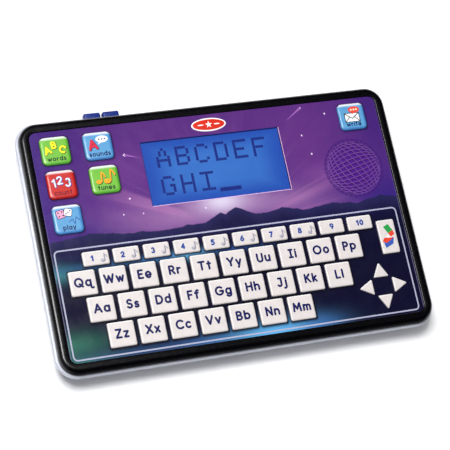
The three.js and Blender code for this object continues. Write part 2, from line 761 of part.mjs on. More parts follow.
addPiece('rear_cover', rearCoverGeometry(), plastic(0xe4e6ec, 0.3));
addPiece('front_bezel', frontBezelGeometry(), plastic(0x0a0a0c, 0.12));
addPiece('face_panel', facePanelGeometry(places), plastic(0x5a2a86, 0.3));
addPiece('lcd_window', lensGeometry(), plastic(0x3070c8, 0.08));
addPiece('lcd_module', displayModuleGeometry(), plastic(0x2d6ec8, 0.3));
addPiece('circuit_board', circuitBoardGeometry(), plastic(0x1f6a3a, 0.5));
addPiece('key_mat', keyMatGeometry(places), plastic(0xb9bcc4, 0.8));
addPiece('speaker', speakerGeometry(), plastic(0x1c1c20, 0.6));
addPiece('battery_set', batterySetGeometry(), metal(0x9a9ca0, 0.4));
addPiece('battery_door', batteryDoorGeometry(), plastic(0xe4e6ec, 0.35));
addPiece('door_screw', doorScrewGeometry(), metal(0xb8babd, 0.3));
addKeys(places);
addEdgeButtons();

export default tablet;
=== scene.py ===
"""Looks of a toy tablet computer: moulded case, printed face, keys with legends, lit display.

Lengths are millimetres unless a name ends in _m. Places on the face are given from the middle of the
face panel, +X along the key rows and +Y to the far edge; heights are from the surface it stands on.
"""
import json
import math

import bpy
from mathutils import Matrix, Vector


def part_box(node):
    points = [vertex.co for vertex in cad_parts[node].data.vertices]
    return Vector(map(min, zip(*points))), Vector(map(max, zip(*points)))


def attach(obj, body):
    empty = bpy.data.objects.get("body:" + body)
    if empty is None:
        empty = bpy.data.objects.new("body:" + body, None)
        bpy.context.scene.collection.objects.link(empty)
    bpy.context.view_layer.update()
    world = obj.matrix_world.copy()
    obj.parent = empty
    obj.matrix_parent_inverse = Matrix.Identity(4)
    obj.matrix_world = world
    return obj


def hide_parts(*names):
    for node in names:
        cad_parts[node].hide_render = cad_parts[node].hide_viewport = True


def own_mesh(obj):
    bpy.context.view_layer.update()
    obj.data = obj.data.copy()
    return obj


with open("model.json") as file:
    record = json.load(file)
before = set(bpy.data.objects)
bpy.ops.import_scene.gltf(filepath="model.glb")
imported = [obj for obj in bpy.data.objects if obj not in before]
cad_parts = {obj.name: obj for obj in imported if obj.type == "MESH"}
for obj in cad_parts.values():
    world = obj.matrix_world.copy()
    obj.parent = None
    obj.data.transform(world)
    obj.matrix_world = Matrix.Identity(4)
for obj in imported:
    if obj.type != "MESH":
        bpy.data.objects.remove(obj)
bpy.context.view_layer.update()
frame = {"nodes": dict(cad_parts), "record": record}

# ---------------------------------------------------------------- sizes taken from the frame

MM = 0.001


def span(node):
    """The lowest and highest corner of a CAD node, in millimetres."""
    low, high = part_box(node)
    return low / MM, high / MM


def middle(node):
    low, high = span(node)
    return (low + high) / 2


PANEL_LOW, PANEL_HIGH = span("face_panel")
FACE_CENTRE = (PANEL_LOW + PANEL_HIGH) / 2
FACE_Z = PANEL_HIGH.z
BEZEL_LOW, BEZEL_HIGH = span("front_bezel")
COVER_LOW, COVER_HIGH = span("rear_cover")
WINDOW_LOW, WINDOW_HIGH = span("lcd_window")
KEY_TOP = span("key_q")[1].z

# ---------------------------------------------------------------- driving dimensions of the looks

CAP_FLANGE = 0.6
CAP_FLANGE_THICKNESS = 1.0
KEY_CROWN = (1.15, 0.75)            # width and height of a key's rounded rim
BUTTON_CROWN = (2.0, 1.0)
KEY_RADIUS = 1.2
BUTTON_RADIUS = 3.3
INK_LIFT = 0.025                    # height from one printed layer to the next
GAP = 0.3                           # clearance round a part that is let into another

BEZEL_RADIUS = 12.5
BEZEL_EDGE = (3.2, 3.5)             # width and height of the bezel's rounded outer edge
OPENING_CORNER = 4.8
COVER_RADIUS = 14.2
COVER_WALL = 3.4
COVER_LIP = 1.1
COVER_FLOOR = 2.6
FLOOR_Z = 1.2
# The underside curves in from a waist height by a sweep, outside and inside
OUTSIDE_SWEEP, OUTSIDE_WAIST_Z = 20, COVER_HIGH.z - COVER_LIP
INSIDE_SWEEP, INSIDE_WAIST_Z = 17, 14
EDGE_BUTTON_POCKET = 5              # depth of the pocket in the inside of the wall behind each button

LETTER_CAP_HEIGHT = 6.4
LETTER_STROKE = 1.36
LETTER_BASELINE = -2.7
DIGIT_HEIGHT = 4.1
DIGIT_STROKE = 1.05

# ---------------------------------------------------------------- colours


def srgb(red, green, blue):
    """Linear colour with alpha from 0-255 display values."""
    def linear(value):
        v = value / 255
        return v / 12.92 if v <= 0.04045 else ((v + 0.055) / 1.055) ** 2.4
    return (linear(red), linear(green), linear(blue), 1.0)


class Shader:
    """One material's node tree, with short calls for the nodes used here."""

    def __init__(self, name):
        self.material = bpy.data.materials.new(name)
        self.material.use_nodes = True
        self.nodes = self.material.node_tree.nodes
        self.links = self.material.node_tree.links
        self.surface = self.nodes["Principled BSDF"]
        self.place = self.nodes.new("ShaderNodeTexCoord").outputs["Object"]

    def feed(self, socket, value):
        if isinstance(value, bpy.types.NodeSocket):
            self.links.new(value, socket)
        else:
            socket.default_value = value

    def set(self, **inputs):
        for name, value in inputs.items():
            self.feed(self.surface.inputs[name.replace("_", " ")], value)

    def math(self, operation, a, b=0.0):
        node = self.nodes.new("ShaderNodeMath")
        node.operation = operation
        self.feed(node.inputs[0], a)
        self.feed(node.inputs[1], b)
        return node.outputs[0]

    def add(self, a, b):
        return self.math("ADD", a, b)

    def sub(self, a, b):
        return self.math("SUBTRACT", a, b)

    def mul(self, a, b):
        return self.math("MULTIPLY", a, b)

    def absolute(self, a):
        return self.math("ABSOLUTE", a)

    def remap(self, value, low, high, to_low=0.0, to_high=1.0, smooth=False):
        node = self.nodes.new("ShaderNodeMapRange")
        node.interpolation_type = "SMOOTHSTEP" if smooth else "LINEAR"
        for socket, item in zip(node.inputs, (value, low, high, to_low, to_high)):
            self.feed(socket, item)
        return node.outputs[0]

    def mix(self, factor, a, b):
        node = self.nodes.new("ShaderNodeMix")
        node.data_type = "RGBA"
        self.feed(node.inputs[0], factor)
        self.feed(node.inputs[6], a)
        self.feed(node.inputs[7], b)
        return node.outputs[2]

    def noise(self, scale, detail=2.0, stretch=None):
        node = self.nodes.new("ShaderNodeTexNoise")
        node.inputs["Scale"].default_value = scale
        node.inputs["Detail"].default_value = detail
        vector = self.place
        if stretch:
            mapping = self.nodes.new("ShaderNodeMapping")
            mapping.inputs["Scale"].default_value = stretch
            self.links.new(self.place, mapping.inputs["Vector"])
            vector = mapping.outputs["Vector"]
        self.links.new(vector, node.inputs["Vector"])
        return node.outputs["Fac"]

    def uneven(self, scale, detail, low=0.0, high=1.0):
        """Noise whose usual range is spread from low to high."""
        return self.remap(self.noise(scale, detail), 0.3, 0.7, low, high)

    def noise_along(self, value, scale, detail):
        """Noise that changes with one number only."""
        node = self.nodes.new("ShaderNodeTexNoise")
        node.noise_dimensions = "1D"
        node.inputs["Scale"].default_value = scale
        node.inputs["Detail"].default_value = detail
        self.feed(node.inputs["W"], value)
        return node.outputs["Fac"]

    def axes(self, centre=Vector((0, 0, 0))):
        """Millimetres along X, Y and Z from a point of the object's own space."""
        split = self.nodes.new("ShaderNodeSeparateXYZ")
        self.links.new(self.place, split.inputs[0])
        scaled = [self.mul(out, 1 / MM) for out in split.outputs]
        return [self.sub(out, c) for out, c in zip(scaled, centre)]

    def length(self, a, b):
        """The length of a vector with two components."""
        squares = self.mul(a, a), self.mul(b, b)
        return self.math("SQRT", self.add(*squares))

    def facing(self):
        """The surface's direction along X, Y and Z of the object's own space."""
        split = self.nodes.new("ShaderNodeSeparateXYZ")
        self.links.new(self.nodes["Texture Coordinate"].outputs["Normal"], split.inputs[0])
        return split.outputs

    def bump(self, height, strength, distance_mm):
        node = self.nodes.new("ShaderNodeBump")
        node.inputs["Strength"].default_value = strength
        node.inputs["Distance"].default_value = distance_mm * MM
        self.links.new(height, node.inputs["Height"])
        self.links.new(node.outputs["Normal"], self.surface.inputs["Normal"])


# ---------------------------------------------------------------- materials


def moulded(name, colour, roughness=0.35, grain=0.25, variation=0.08, coat=0.0):
    """Injection-moulded plastic: slight cloudiness, fine grain and uneven gloss."""
    shader = Shader(name)
    cloud = shader.noise(35, 4)
    grain_noise = shader.noise(5200, 2)
    darker = tuple(c * (1 - variation) for c in colour[:3]) + (1.0,)
    lighter = tuple(min(c * (1 + variation), 1.0) for c in colour[:3]) + (1.0,)
    speck = shader.remap(shader.noise(2300, 3), 0.62, 0.75, 0.0, 0.35)
    base = shader.mix(shader.remap(cloud, 0.3, 0.7), darker, lighter)
    shader.set(
        Base_Color=shader.mix(speck, base, darker),
        Roughness=shader.uneven(260, 5, roughness * 0.82, roughness * 1.18),
        Coat_Weight=coat,
        Coat_Roughness=0.08,
    )
    shader.bump(grain_noise, grain, 0.02)
    return shader.material


def gloss_black():
    """Polished black plastic with hairline wiping marks; its reflection is turned down on the near-facing
    side as painted shade.
    """
    shader = Shader("gloss_black")
    wipe = shader.noise(300, 6, stretch=(1.0, 14.0, 1.0))
    dust = shader.remap(shader.noise(3800, 2), 0.76, 0.84, 0.0, 0.3)
    shader.set(
        Base_Color=shader.mix(dust, srgb(3, 3, 6), srgb(24, 24, 30)),
        Roughness=shader.remap(wipe, 0.35, 0.75, 0.22, 0.34),
        # Painted shade: weaker reflection where the surface faces the near side
        Specular_IOR_Level=shader.remap(shader.facing()[1], -0.85, -0.3, 0.01, 0.4),
    )
    shader.bump(shader.noise(90, 3), 0.06, 0.03)
    return shader.material


def pearl_shell():
    """Pearl silver plastic: satin, with very fine flakes and a faint cloudiness."""
    shader = Shader("pearl_shell")
    flakes = shader.remap(shader.noise(5200, 1), 0.55, 0.8, 0.0, 0.25)
    cloud = shader.uneven(18, 4)
    base = shader.mix(cloud, srgb(190, 194, 208), srgb(200, 204, 217))
    shader.set(
        Base_Color=shader.mix(flakes, base, srgb(226, 229, 238)),
        Roughness=shader.uneven(420, 4, 0.26, 0.34),
        Coat_Weight=0.3,
        Coat_Roughness=0.12,
    )
    shader.bump(shader.noise(900, 2), 0.03, 0.01)
    return shader.material


def rubber(name, colour):
    shader = Shader(name)
    shader.set(
        Base_Color=shader.mix(shader.uneven(600, 5), colour, srgb(60, 60, 64)),
        Roughness=shader.uneven(1500, 3, 0.7, 0.9),
    )
    shader.bump(shader.noise(3000, 3), 0.5, 0.06)
    return shader.material


def steel():
    """Plated steel with turning marks."""
    shader = Shader("plated_steel")
    shader.set(
        Base_Color=shader.mix(shader.noise(900, 4), srgb(168, 168, 172), srgb(206, 207, 212)),
        Metallic=1.0,
        Roughness=shader.uneven(2500, 4, 0.22, 0.42),
    )
    shader.bump(shader.noise(2400, 2), 0.3, 0.01)
    return shader.material


def ink(name, colour, roughness):
    """Screen-printed ink: slightly uneven coverage and a faintly raised, rough film."""
    shader = Shader(name)
    thin = tuple(min(c * 1.15 + 0.004, 1.0) for c in colour[:3]) + (1.0,)
    coverage = shader.remap(shader.noise(1800, 4), 0.35, 0.75)
    shader.set(
        Base_Color=shader.mix(coverage, colour, thin),
        Roughness=shader.uneven(900, 3, roughness * 0.85, roughness * 1.15),
        Specular_IOR_Level=0.25,
    )
    shader.bump(shader.noise(3600, 2), 0.15, 0.01)
    return shader.material


def key_plastic():
    """Warm white satin keys: a painted highlight on the rim towards the far side, painted shade on the near
    and right sides and low on the skirt, and a film of handling.
    """
    shader = Shader("key_white")
    grime = shader.remap(shader.noise(240, 5), 0.4, 0.8)
    base = shader.mix(grime, srgb(220, 213, 211), srgb(210, 203, 201))
    facing = shader.facing()
    # Painted highlight: whiter where the rim faces the far side
    far_rim_highlight = shader.remap(facing[1], 0.06, 0.4, smooth=True)
    # Painted shade: greyer where the rim faces the near side or the right
    near_rim_shade = shader.remap(shader.math("MAXIMUM", shader.mul(facing[1], -1), facing[0]),
                            0.12, 0.8, 0.0, 0.6, smooth=True)
    # Painted shade low on the key's sides, where it stands out of the panel
    height = shader.axes(Vector((0, 0, KEY_TOP)))[2]
    skirt = shader.remap(height, -1.3, -0.7, 1.0, 0.0)
    rimmed = shader.mix(near_rim_shade, shader.mix(far_rim_highlight, base, srgb(248, 246, 244)), srgb(172, 164, 168))
    shader.set(
        Base_Color=shader.mix(skirt, rimmed, srgb(128, 122, 140)),
        Roughness=shader.uneven(900, 4, 0.3, 0.45),
        Coat_Weight=0.15,
        Coat_Roughness=0.2,
    )
    shader.bump(shader.noise(2600, 2), 0.08, 0.012)
    return shader.material


def mode_button(name, colour, deep):
    """Glossy coloured button with a painted white highlight along its far edge and painted shade on its near
    and right edges.
    """
    shader = Shader(name)
    x, y = shader.axes()[:2]
    half = (span("button_letters")[1].y - span("button_letters")[0].y) / 2 - CAP_FLANGE
    # Painted highlight: white towards the far edge
    glow = shader.remap(y, half - 2.6, half - 0.9, smooth=True)
    # Painted shade: deeper colour towards the near and right edges
    near_or_side = shader.math("MAXIMUM", x, shader.mul(y, -1))
    edge = shader.remap(near_or_side, half - 2.6, half, smooth=True)
    cloud = shader.uneven(160, 3, 0.0, 0.18)
    body = shader.mix(cloud, colour, deep)
    toned = shader.mix(shader.mul(edge, 0.75), body, deep)
    shader.set(
        Base_Color=shader.mix(shader.mul(glow, 0.8), toned, srgb(250, 250, 252)),
        Roughness=shader.uneven(700, 4, 0.28, 0.4),
        Coat_Weight=0.2,
        Coat_Roughness=0.16,
    )
    shader.bump(shader.noise(1600, 2), 0.06, 0.012)
    return shader.material


# The printed landscape: soft coloured lights as (x, y, half width, half depth, colour, strength)
SKY_LIGHTS = [
    (-118, 78, 46, 46, srgb(60, 30, 114), 0.8),
    (-118, 30, 20, 44, srgb(62, 34, 122), 0.8),
    (-92, 6, 46, 11, srgb(58, 34, 120), 0.8),
    (118, 64, 22, 46, srgb(58, 30, 114), 0.8),
    (114, 6, 44, 17, srgb(46, 30, 118), 0.85),
    (64, 44, 18, 32, srgb(102, 50, 126), 0.6),
    (-62, 42, 16, 18, srgb(108, 56, 134), 0.6),
    (-62, 14, 24, 9, srgb(126, 78, 146), 0.55),
    (-32, 9, 34, 10, srgb(160, 112, 166), 0.7),
    (36, 11, 30, 9, srgb(150, 106, 162), 0.7),
    (70, 26, 15, 7, srgb(124, 72, 146), 0.55),
    (0, 15, 24, 9, srgb(186, 156, 196), 0.9),
    (-2, 16, 11, 6, srgb(214, 204, 228), 0.95),
]
GROUND_LIGHTS = [
    (-112, -8, 40, 5, srgb(28, 26, 74), 0.7),
    (20, -6, 100, 4, srgb(26, 24, 72), 0.6),
    (-120, -18.5, 13, 5.5, srgb(52, 122, 132), 0.95),
    (-92, -16, 30, 2.6, srgb(38, 84, 128), 0.7),
    (-46, -16.5, 26, 2.6, srgb(50, 106, 168), 0.9),
    (-30, -17, 11, 3.4, srgb(96, 172, 216), 0.9),
    (0, -17, 22, 2.4, srgb(40, 76, 144), 0.7),
    (-118, -65, 24, 8, srgb(44, 104, 88), 0.95),
    (-114, -77, 30, 5, srgb(54, 116, 108), 0.85),
    (-70, -76, 40, 6, srgb(38, 68, 112), 0.8),
    (-30, -75, 22, 5, srgb(44, 88, 146), 0.7),
    (16, -76, 30, 8.5, srgb(92, 172, 228), 1.0),
    (46, -75, 14, 6, srgb(52, 100, 172), 0.6),
]
HORIZON_Y = 1.2
# Peaks of the ridge as (x, y, slope)
PEAKS = [
    (6.4, 10.6, 0.49), (-4.4, 8.4, 0.5), (-27.2, 3.3, 0.3), (37.6, 6.6, 0.24), (73, 5.3, 0.13),
    (107.6, 6.4, 0.2), (-92, 5.4, 0.12), (-60, 2.6, 0.1), (20, 4.6, 0.05),
]
RAY_SOURCE = (2, -4)
GLOBE_CELLS = 38


def face_print():
    """The printed night sky with rays over a mountain ridge, and the dark keyboard field."""
    shader = Shader("face_print")
    x, y = shader.axes(FACE_CENTRE)[:2]

    def light(cx, cy, wide, deep):
        u = shader.math("DIVIDE", shader.sub(x, cx), wide)
        v = shader.math("DIVIDE", shader.sub(y, cy), deep)
        radius = shader.add(shader.mul(u, u), shader.mul(v, v))
        return shader.math("EXPONENT", shader.mul(radius, -1.0))

    def lit(base, lights):
        for cx, cy, wide, deep, colour, strength in lights:
            factor = shader.mul(light(cx, cy, wide, deep), strength)
            base = shader.mix(factor, base, colour)
        return base

    # Sky, and faint rays that fan out from behind the ridge
    sky = lit(shader.mix(shader.remap(y, 0, 76), srgb(94, 46, 130), srgb(86, 42, 120)), SKY_LIGHTS)
    dx = shader.sub(x, RAY_SOURCE[0])
    dy = shader.sub(y, RAY_SOURCE[1])
    angle = shader.math("ARCTAN2", dy, dx)
    distance = shader.length(dx, dy)
    away = shader.remap(distance, 22, 46, smooth=True)
    ray = shader.remap(shader.noise_along(angle, 5.0, 3.0), 0.44, 0.72, smooth=True)
    reach = shader.mul(away, shader.remap(distance, 46, 104, 0.5, 0.0, smooth=True))
    low_sky = shader.remap(y, 26, 62, 1.0, 0.2, smooth=True)
    bright = shader.mul(shader.mul(ray, reach), low_sky)
    sky = shader.mix(bright, sky, srgb(176, 118, 174))
    shadow_ray = shader.remap(shader.noise_along(shader.add(angle, 9.0), 6.0, 3.0), 0.5, 0.8)
    dim = shader.mul(shader.mul(shadow_ray, away), 0.3)
    sky = shader.mix(dim, sky, srgb(66, 32, 112))

    # Mountains: the highest of the peaks at each place, with a slightly rough skyline
    skyline = HORIZON_Y
    for peak_x, peak_y, slope in PEAKS:
        from_peak = shader.absolute(shader.sub(x, peak_x))
        flank = shader.sub(peak_y, shader.mul(from_peak, slope))
        skyline = shader.math("SMOOTH_MAX", skyline, flank)
    rough = shader.mul(shader.sub(shader.noise_along(x, 0.16, 4.0), 0.5), 1.6)
    above = shader.sub(y, shader.add(skyline, rough))
    mountain = shader.remap(above, -0.3, 0.3, 1.0, 0.0)
    mist = shader.remap(above, -9, 0, smooth=True)
    rock = shader.mix(mist, srgb(24, 22, 62), srgb(36, 34, 80))
    field = shader.mix(shader.remap(y, -3, -6), rock, srgb(14, 13, 42))
    picture = shader.mix(mountain, sky, lit(field, GROUND_LIGHTS))

    # A dark painted shadow round every key and button
    for shade in KEY_SHADOWS:
        picture = shader.mix(shade(shader, x, y), picture, srgb(7, 6, 22))

    # The globe of the speaker grille: paler ribs, and small printed cells that close it at its rim
    globe = middle("speaker") - FACE_CENTRE
    from_x = shader.sub(x, globe.x)
    from_y = shader.sub(y, globe.y)
    from_middle = shader.length(from_x, from_y)
    picture = shader.mix(shader.remap(from_middle, 21.2, 20.6, 0.0, 0.45), picture, srgb(72, 30, 122))
    picture = shader.mix(shader.remap(from_middle, 19.2, 18.2, 0.0, 0.4), picture, srgb(134, 86, 168))
    rim = shader.mul(shader.remap(from_middle, 18.4, 18.9),
                     shader.remap(from_middle, 21.2, 20.5))
    turn = shader.add(shader.math("ARCTAN2", from_y, from_x), math.pi)
    cell = shader.remap(shader.math("PINGPONG", turn, math.pi / GLOBE_CELLS), 0.02, 0.035)
    band = shader.remap(shader.math("PINGPONG", from_middle, 0.65), 0.12, 0.25)
    cells = shader.mul(rim, shader.mul(cell, band))
    picture = shader.mix(shader.mul(cells, 0.5), picture, srgb(48, 20, 94))

    # The cut edge of the printed sheet catches the light on the near side
    half = (PANEL_HIGH - PANEL_LOW) / 2
    to_side = shader.sub(half.x, shader.absolute(x))
    to_edge = shader.math("MINIMUM", to_side, shader.add(y, half.y))
    sheen = shader.mul(shader.remap(to_edge, 0.25, 0.55, 1.0, 0.0),
                        shader.remap(y, 30, -30, 0.1, 0.5))
    picture = shader.mix(sheen, picture, srgb(150, 146, 190))

    speckle = shader.uneven(2600, 3, 0.0, 0.06)
    shader.set(
        Base_Color=shader.mix(speckle, picture, srgb(16, 10, 40)),
        Roughness=shader.uneven(120, 5, 0.22, 0.32),
        Coat_Weight=0.1,
        Coat_Roughness=0.1,
        Specular_IOR_Level=0.3,
    )
    shader.bump(shader.noise(1400, 2), 0.04, 0.01)
    return shader.material


def display_glow():
    """Backlit liquid-crystal glass: brighter in the middle, with a faint dot grid."""
    shader = Shader("display_glow")
    low, high = WINDOW_LOW, WINDOW_HIGH
    x, y = shader.axes((low + high) / 2)[:2]
    across = shader.remap(shader.absolute(x), 24, (high.x - low.x) / 2, smooth=True)
    up = shader.remap(shader.absolute(y), 8, (high.y - low.y) / 2, smooth=True)
    rim = shader.math("MAXIMUM", across, up)
    grid_x = shader.math("PINGPONG", shader.add(x, 100), DOT_PITCH / 2)
    grid_y = shader.math("PINGPONG", shader.add(y, 100), DOT_PITCH / 2)
    grid = shader.math("LESS_THAN", shader.math("MINIMUM", grid_x, grid_y), 0.1)
    cloud = shader.uneven(60, 3)
    blue = shader.mix(cloud, srgb(50, 106, 186), srgb(58, 114, 194))
    blue = shader.mix(shader.mul(rim, 0.85), blue, srgb(24, 66, 164))
    blue = shader.mix(shader.mul(grid, 0.1), blue, srgb(20, 50, 140))
    shader.set(
        Base_Color=blue,
        Emission_Color=blue,
        Emission_Strength=0.12,
        Roughness=shader.uneven(800, 2, 0.35, 0.5),
        Specular_IOR_Level=0.2,
    )
    return shader.material


def clear_lens():
    """Clear lens over the display: nearly invisible, with a thin film of gloss and dust."""
    shader = Shader("clear_lens")
    dust = shader.remap(shader.noise(2600, 3), 0.66, 0.8, 0.0, 0.4)
    shader.set(
        Base_Color=shader.mix(dust, srgb(30, 70, 150), srgb(120, 140, 180)),
        Roughness=shader.uneven(500, 3, 0.04, 0.1),
        Alpha=0.06,
    )
    return shader.material


def grille_cloth():
    """Dust cloth behind the speaker grille, woven in deep purple."""
    shader = Shader("grille_cloth")
    x, y = shader.axes()[:2]
    thread = 0.45
    warp = shader.math("PINGPONG", x, thread / 2)
    weft = shader.math("PINGPONG", y, thread / 2)
    weave = shader.remap(shader.mul(warp, weft), 0.0, thread * thread / 4)
    shader.set(
        Base_Color=shader.mix(weave, srgb(66, 16, 122), srgb(84, 30, 140)),
        Roughness=shader.remap(weave, 0, 1, 0.95, 0.7),
        Specular_IOR_Level=0.2,
    )
    shader.bump(weave, 0.4, 0.1)
    return shader.material


def board_green():
    """Circuit board: solder mask with faint copper traces."""
    shader = Shader("board_green")
    x, y = shader.axes()[:2]
    trace = shader.math("LESS_THAN", shader.math("PINGPONG", shader.add(x, y), 1.3), 0.35)
    patch = shader.remap(shader.noise(45, 2), 0.5, 0.55)
    shader.set(
        Base_Color=shader.mix(shader.mul(trace, patch), srgb(22, 84, 44), srgb(58, 132, 72)),
        Roughness=shader.uneven(700, 3, 0.3, 0.45),
    )
    shader.bump(trace, 0.3, 0.03)
    return shader.material


def cell_jacket():
    """Printed jacket of a dry cell: dark body and a copper-coloured band at its positive end."""
    shader = Shader("cell_jacket")
    along = shader.axes()[0]
    band = shader.remap(along, 9.8, 10.0)
    wear = shader.remap(shader.noise(300, 5), 0.5, 0.8, 0.0, 0.3)
    body = shader.mix(band, srgb(28, 30, 36), srgb(190, 120, 60))
    shader.set(
        Base_Color=shader.mix(wear, body, srgb(120, 120, 124)),
        Metallic=0.6,
        Roughness=shader.uneven(600, 3, 0.25, 0.4),
    )
    shader.bump(shader.noise(1400, 3), 0.15, 0.02)
    return shader.material


# ---------------------------------------------------------------- outlines


def rectangle(x, y, width, depth):
    """The four corners of a rectangle, anticlockwise."""
    return [Vector((x + sx * width / 2, y + sy * depth / 2))
            for sx, sy in ((-1, -1), (1, -1), (1, 1), (-1, 1))]


def ellipse(x, y, wide, deep, steps=32):
    """An ellipse by its half-axes."""
    turns = [2 * math.pi * i / steps for i in range(steps)]
    return [Vector((x + wide * math.cos(a), y + deep * math.sin(a))) for a in turns]


def circle(x, y, radius, steps=32):
    return ellipse(x, y, radius, radius, steps)


def quarter_turn(steps):
    """Angles from zero to a right angle."""
    return [math.pi / 2 * k / steps for k in range(steps + 1)]


def grow(corners, distance):
    """Moves every side of a convex anticlockwise polygon outwards, or inwards if negative."""
    moved = []
    for i, corner in enumerate(corners):
        along = (corner - corners[i - 1]).normalized()
        onwards = (corners[(i + 1) % len(corners)] - corner).normalized()
        normal = Vector((along.y, -along.x))
        half_way = (normal + Vector((onwards.y, -onwards.x))).normalized()
        moved.append(corner + half_way * (distance / half_way.dot(normal)))
    return moved


def rounded(corners, radius, steps):
    """Replaces each corner of a convex polygon with an arc."""
    points = []
    for i, corner in enumerate(corners):
        back = (corners[i - 1] - corner).normalized()
        onwards = (corners[(i + 1) % len(corners)] - corner).normalized()
        half_angle = math.acos(max(-1.0, min(1.0, back.dot(onwards)))) / 2
        centre = corner + (back + onwards).normalized() * (radius / math.sin(half_angle))
        start = corner + back * (radius / math.tan(half_angle)) - centre
        sweep = math.pi - 2 * half_angle
        for k in range(steps + 1):
            points.append(Matrix.Rotation(sweep * k / steps, 2) @ start + centre)
    return points


def on_face(x, y):
    """A place given from the middle of the face panel, as a place in the frame."""
    return FACE_CENTRE.x + x, FACE_CENTRE.y + y


def inset_rectangle(low, high, radius, inset, steps):
    """A rounded rectangle between two corners, moved in by inset."""
    centre = (low + high) / 2
    corners = rectangle(centre.x, centre.y, high.x - low.x - 2 * inset, high.y - low.y - 2 * inset)
    return rounded(corners, max(radius - inset, 0.8), steps)


# ---------------------------------------------------------------- meshes


def new_object(name, vertices, faces, location=(0, 0, 0), sharp_angle=35):
    """A smooth-shaded mesh object from millimetre vertices, with edges above sharp_angle kept crisp."""
    mesh = bpy.data.meshes.new(name)
    mesh.from_pydata([Vector(v) * MM for v in vertices], [], faces)
    mesh.validate()
    obj = bpy.data.objects.new(name, mesh)
    obj.location = Vector(location) * MM
    bpy.context.scene.collection.objects.link(obj)
    return smooth(obj, sharp_angle)


def loft(rings, closed_tube=False):
    """Vertices and faces through outlines of equal point count, each with its own height."""
    count = len(rings[0][0])
    vertices = [(p.x, p.y, z) for points, z in rings for p in points]
    levels = len(rings)
    faces = []
    for level in range(levels if closed_tube else levels - 1):
        above = (level + 1) % levels
        for i in range(count):
            j = (i + 1) % count
            faces.append((level * count + i, level * count + j, above * count + j, above * count + i))
    if not closed_tube:
        faces.append(tuple(reversed(range(count))))
        faces.append(tuple(range((levels - 1) * count, levels * count)))
    return vertices, faces


def prism(points, bottom, top):
    return loft([(points, bottom), (points, top)])


def merged(parts):
    """Several vertex and face lists as one."""
    vertices, faces = [], []
    for part_vertices, part_faces in parts:
        start = len(vertices)
        vertices += part_vertices
        faces += [tuple(start + i for i in face) for face in part_faces]
    return vertices, faces


def boolean(target, parts, operation):
    """Joins closed parts to an object or cuts them from it, and keeps the result as its mesh."""
    cutter = new_object("cutter", *merged(parts))
    modifier = target.modifiers.new("boolean", "BOOLEAN")
    modifier.operation = operation
    modifier.solver = "EXACT"
    modifier.use_self = True
    modifier.object = cutter
    bpy.context.view_layer.update()
    graph = bpy.context.evaluated_depsgraph_get()
    result = bpy.data.meshes.new_from_object(target.evaluated_get(graph))
    target.modifiers.clear()
    target.data = result
    bpy.data.objects.remove(cutter)
    return target


def smooth(obj, sharp_angle=35):
    mesh = obj.data
    mesh.polygons.foreach_set("use_smooth", [True] * len(mesh.polygons))
    mesh.set_sharp_from_angle(angle=math.radians(sharp_angle))
    return obj


def finish_piece(obj, body, slot, material, *replaced):
    """Gives a piece its material and the body that it rides on; the slot argument is not used."""
    obj.data.materials.clear()
    obj.data.materials.append(material)
    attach(obj, body)
    if replaced:
        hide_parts(*replaced)
    return obj


# ---------------------------------------------------------------- lettering


def arc(cx, cy, rx, ry, start, end):
    """Points along an elliptical arc, in degrees."""
    steps = max(2, round(abs(end - start) / 15))
    angles = [math.radians(start + (end - start) * i / steps) for i in range(steps + 1)]
    return [(cx + rx * math.cos(a), cy + ry * math.sin(a)) for a in angles]


X = 0.68                            # height of small letters, as a share of the capitals
BOWL = arc(0.3, X / 2, 0.3, X / 2, 0, 360)

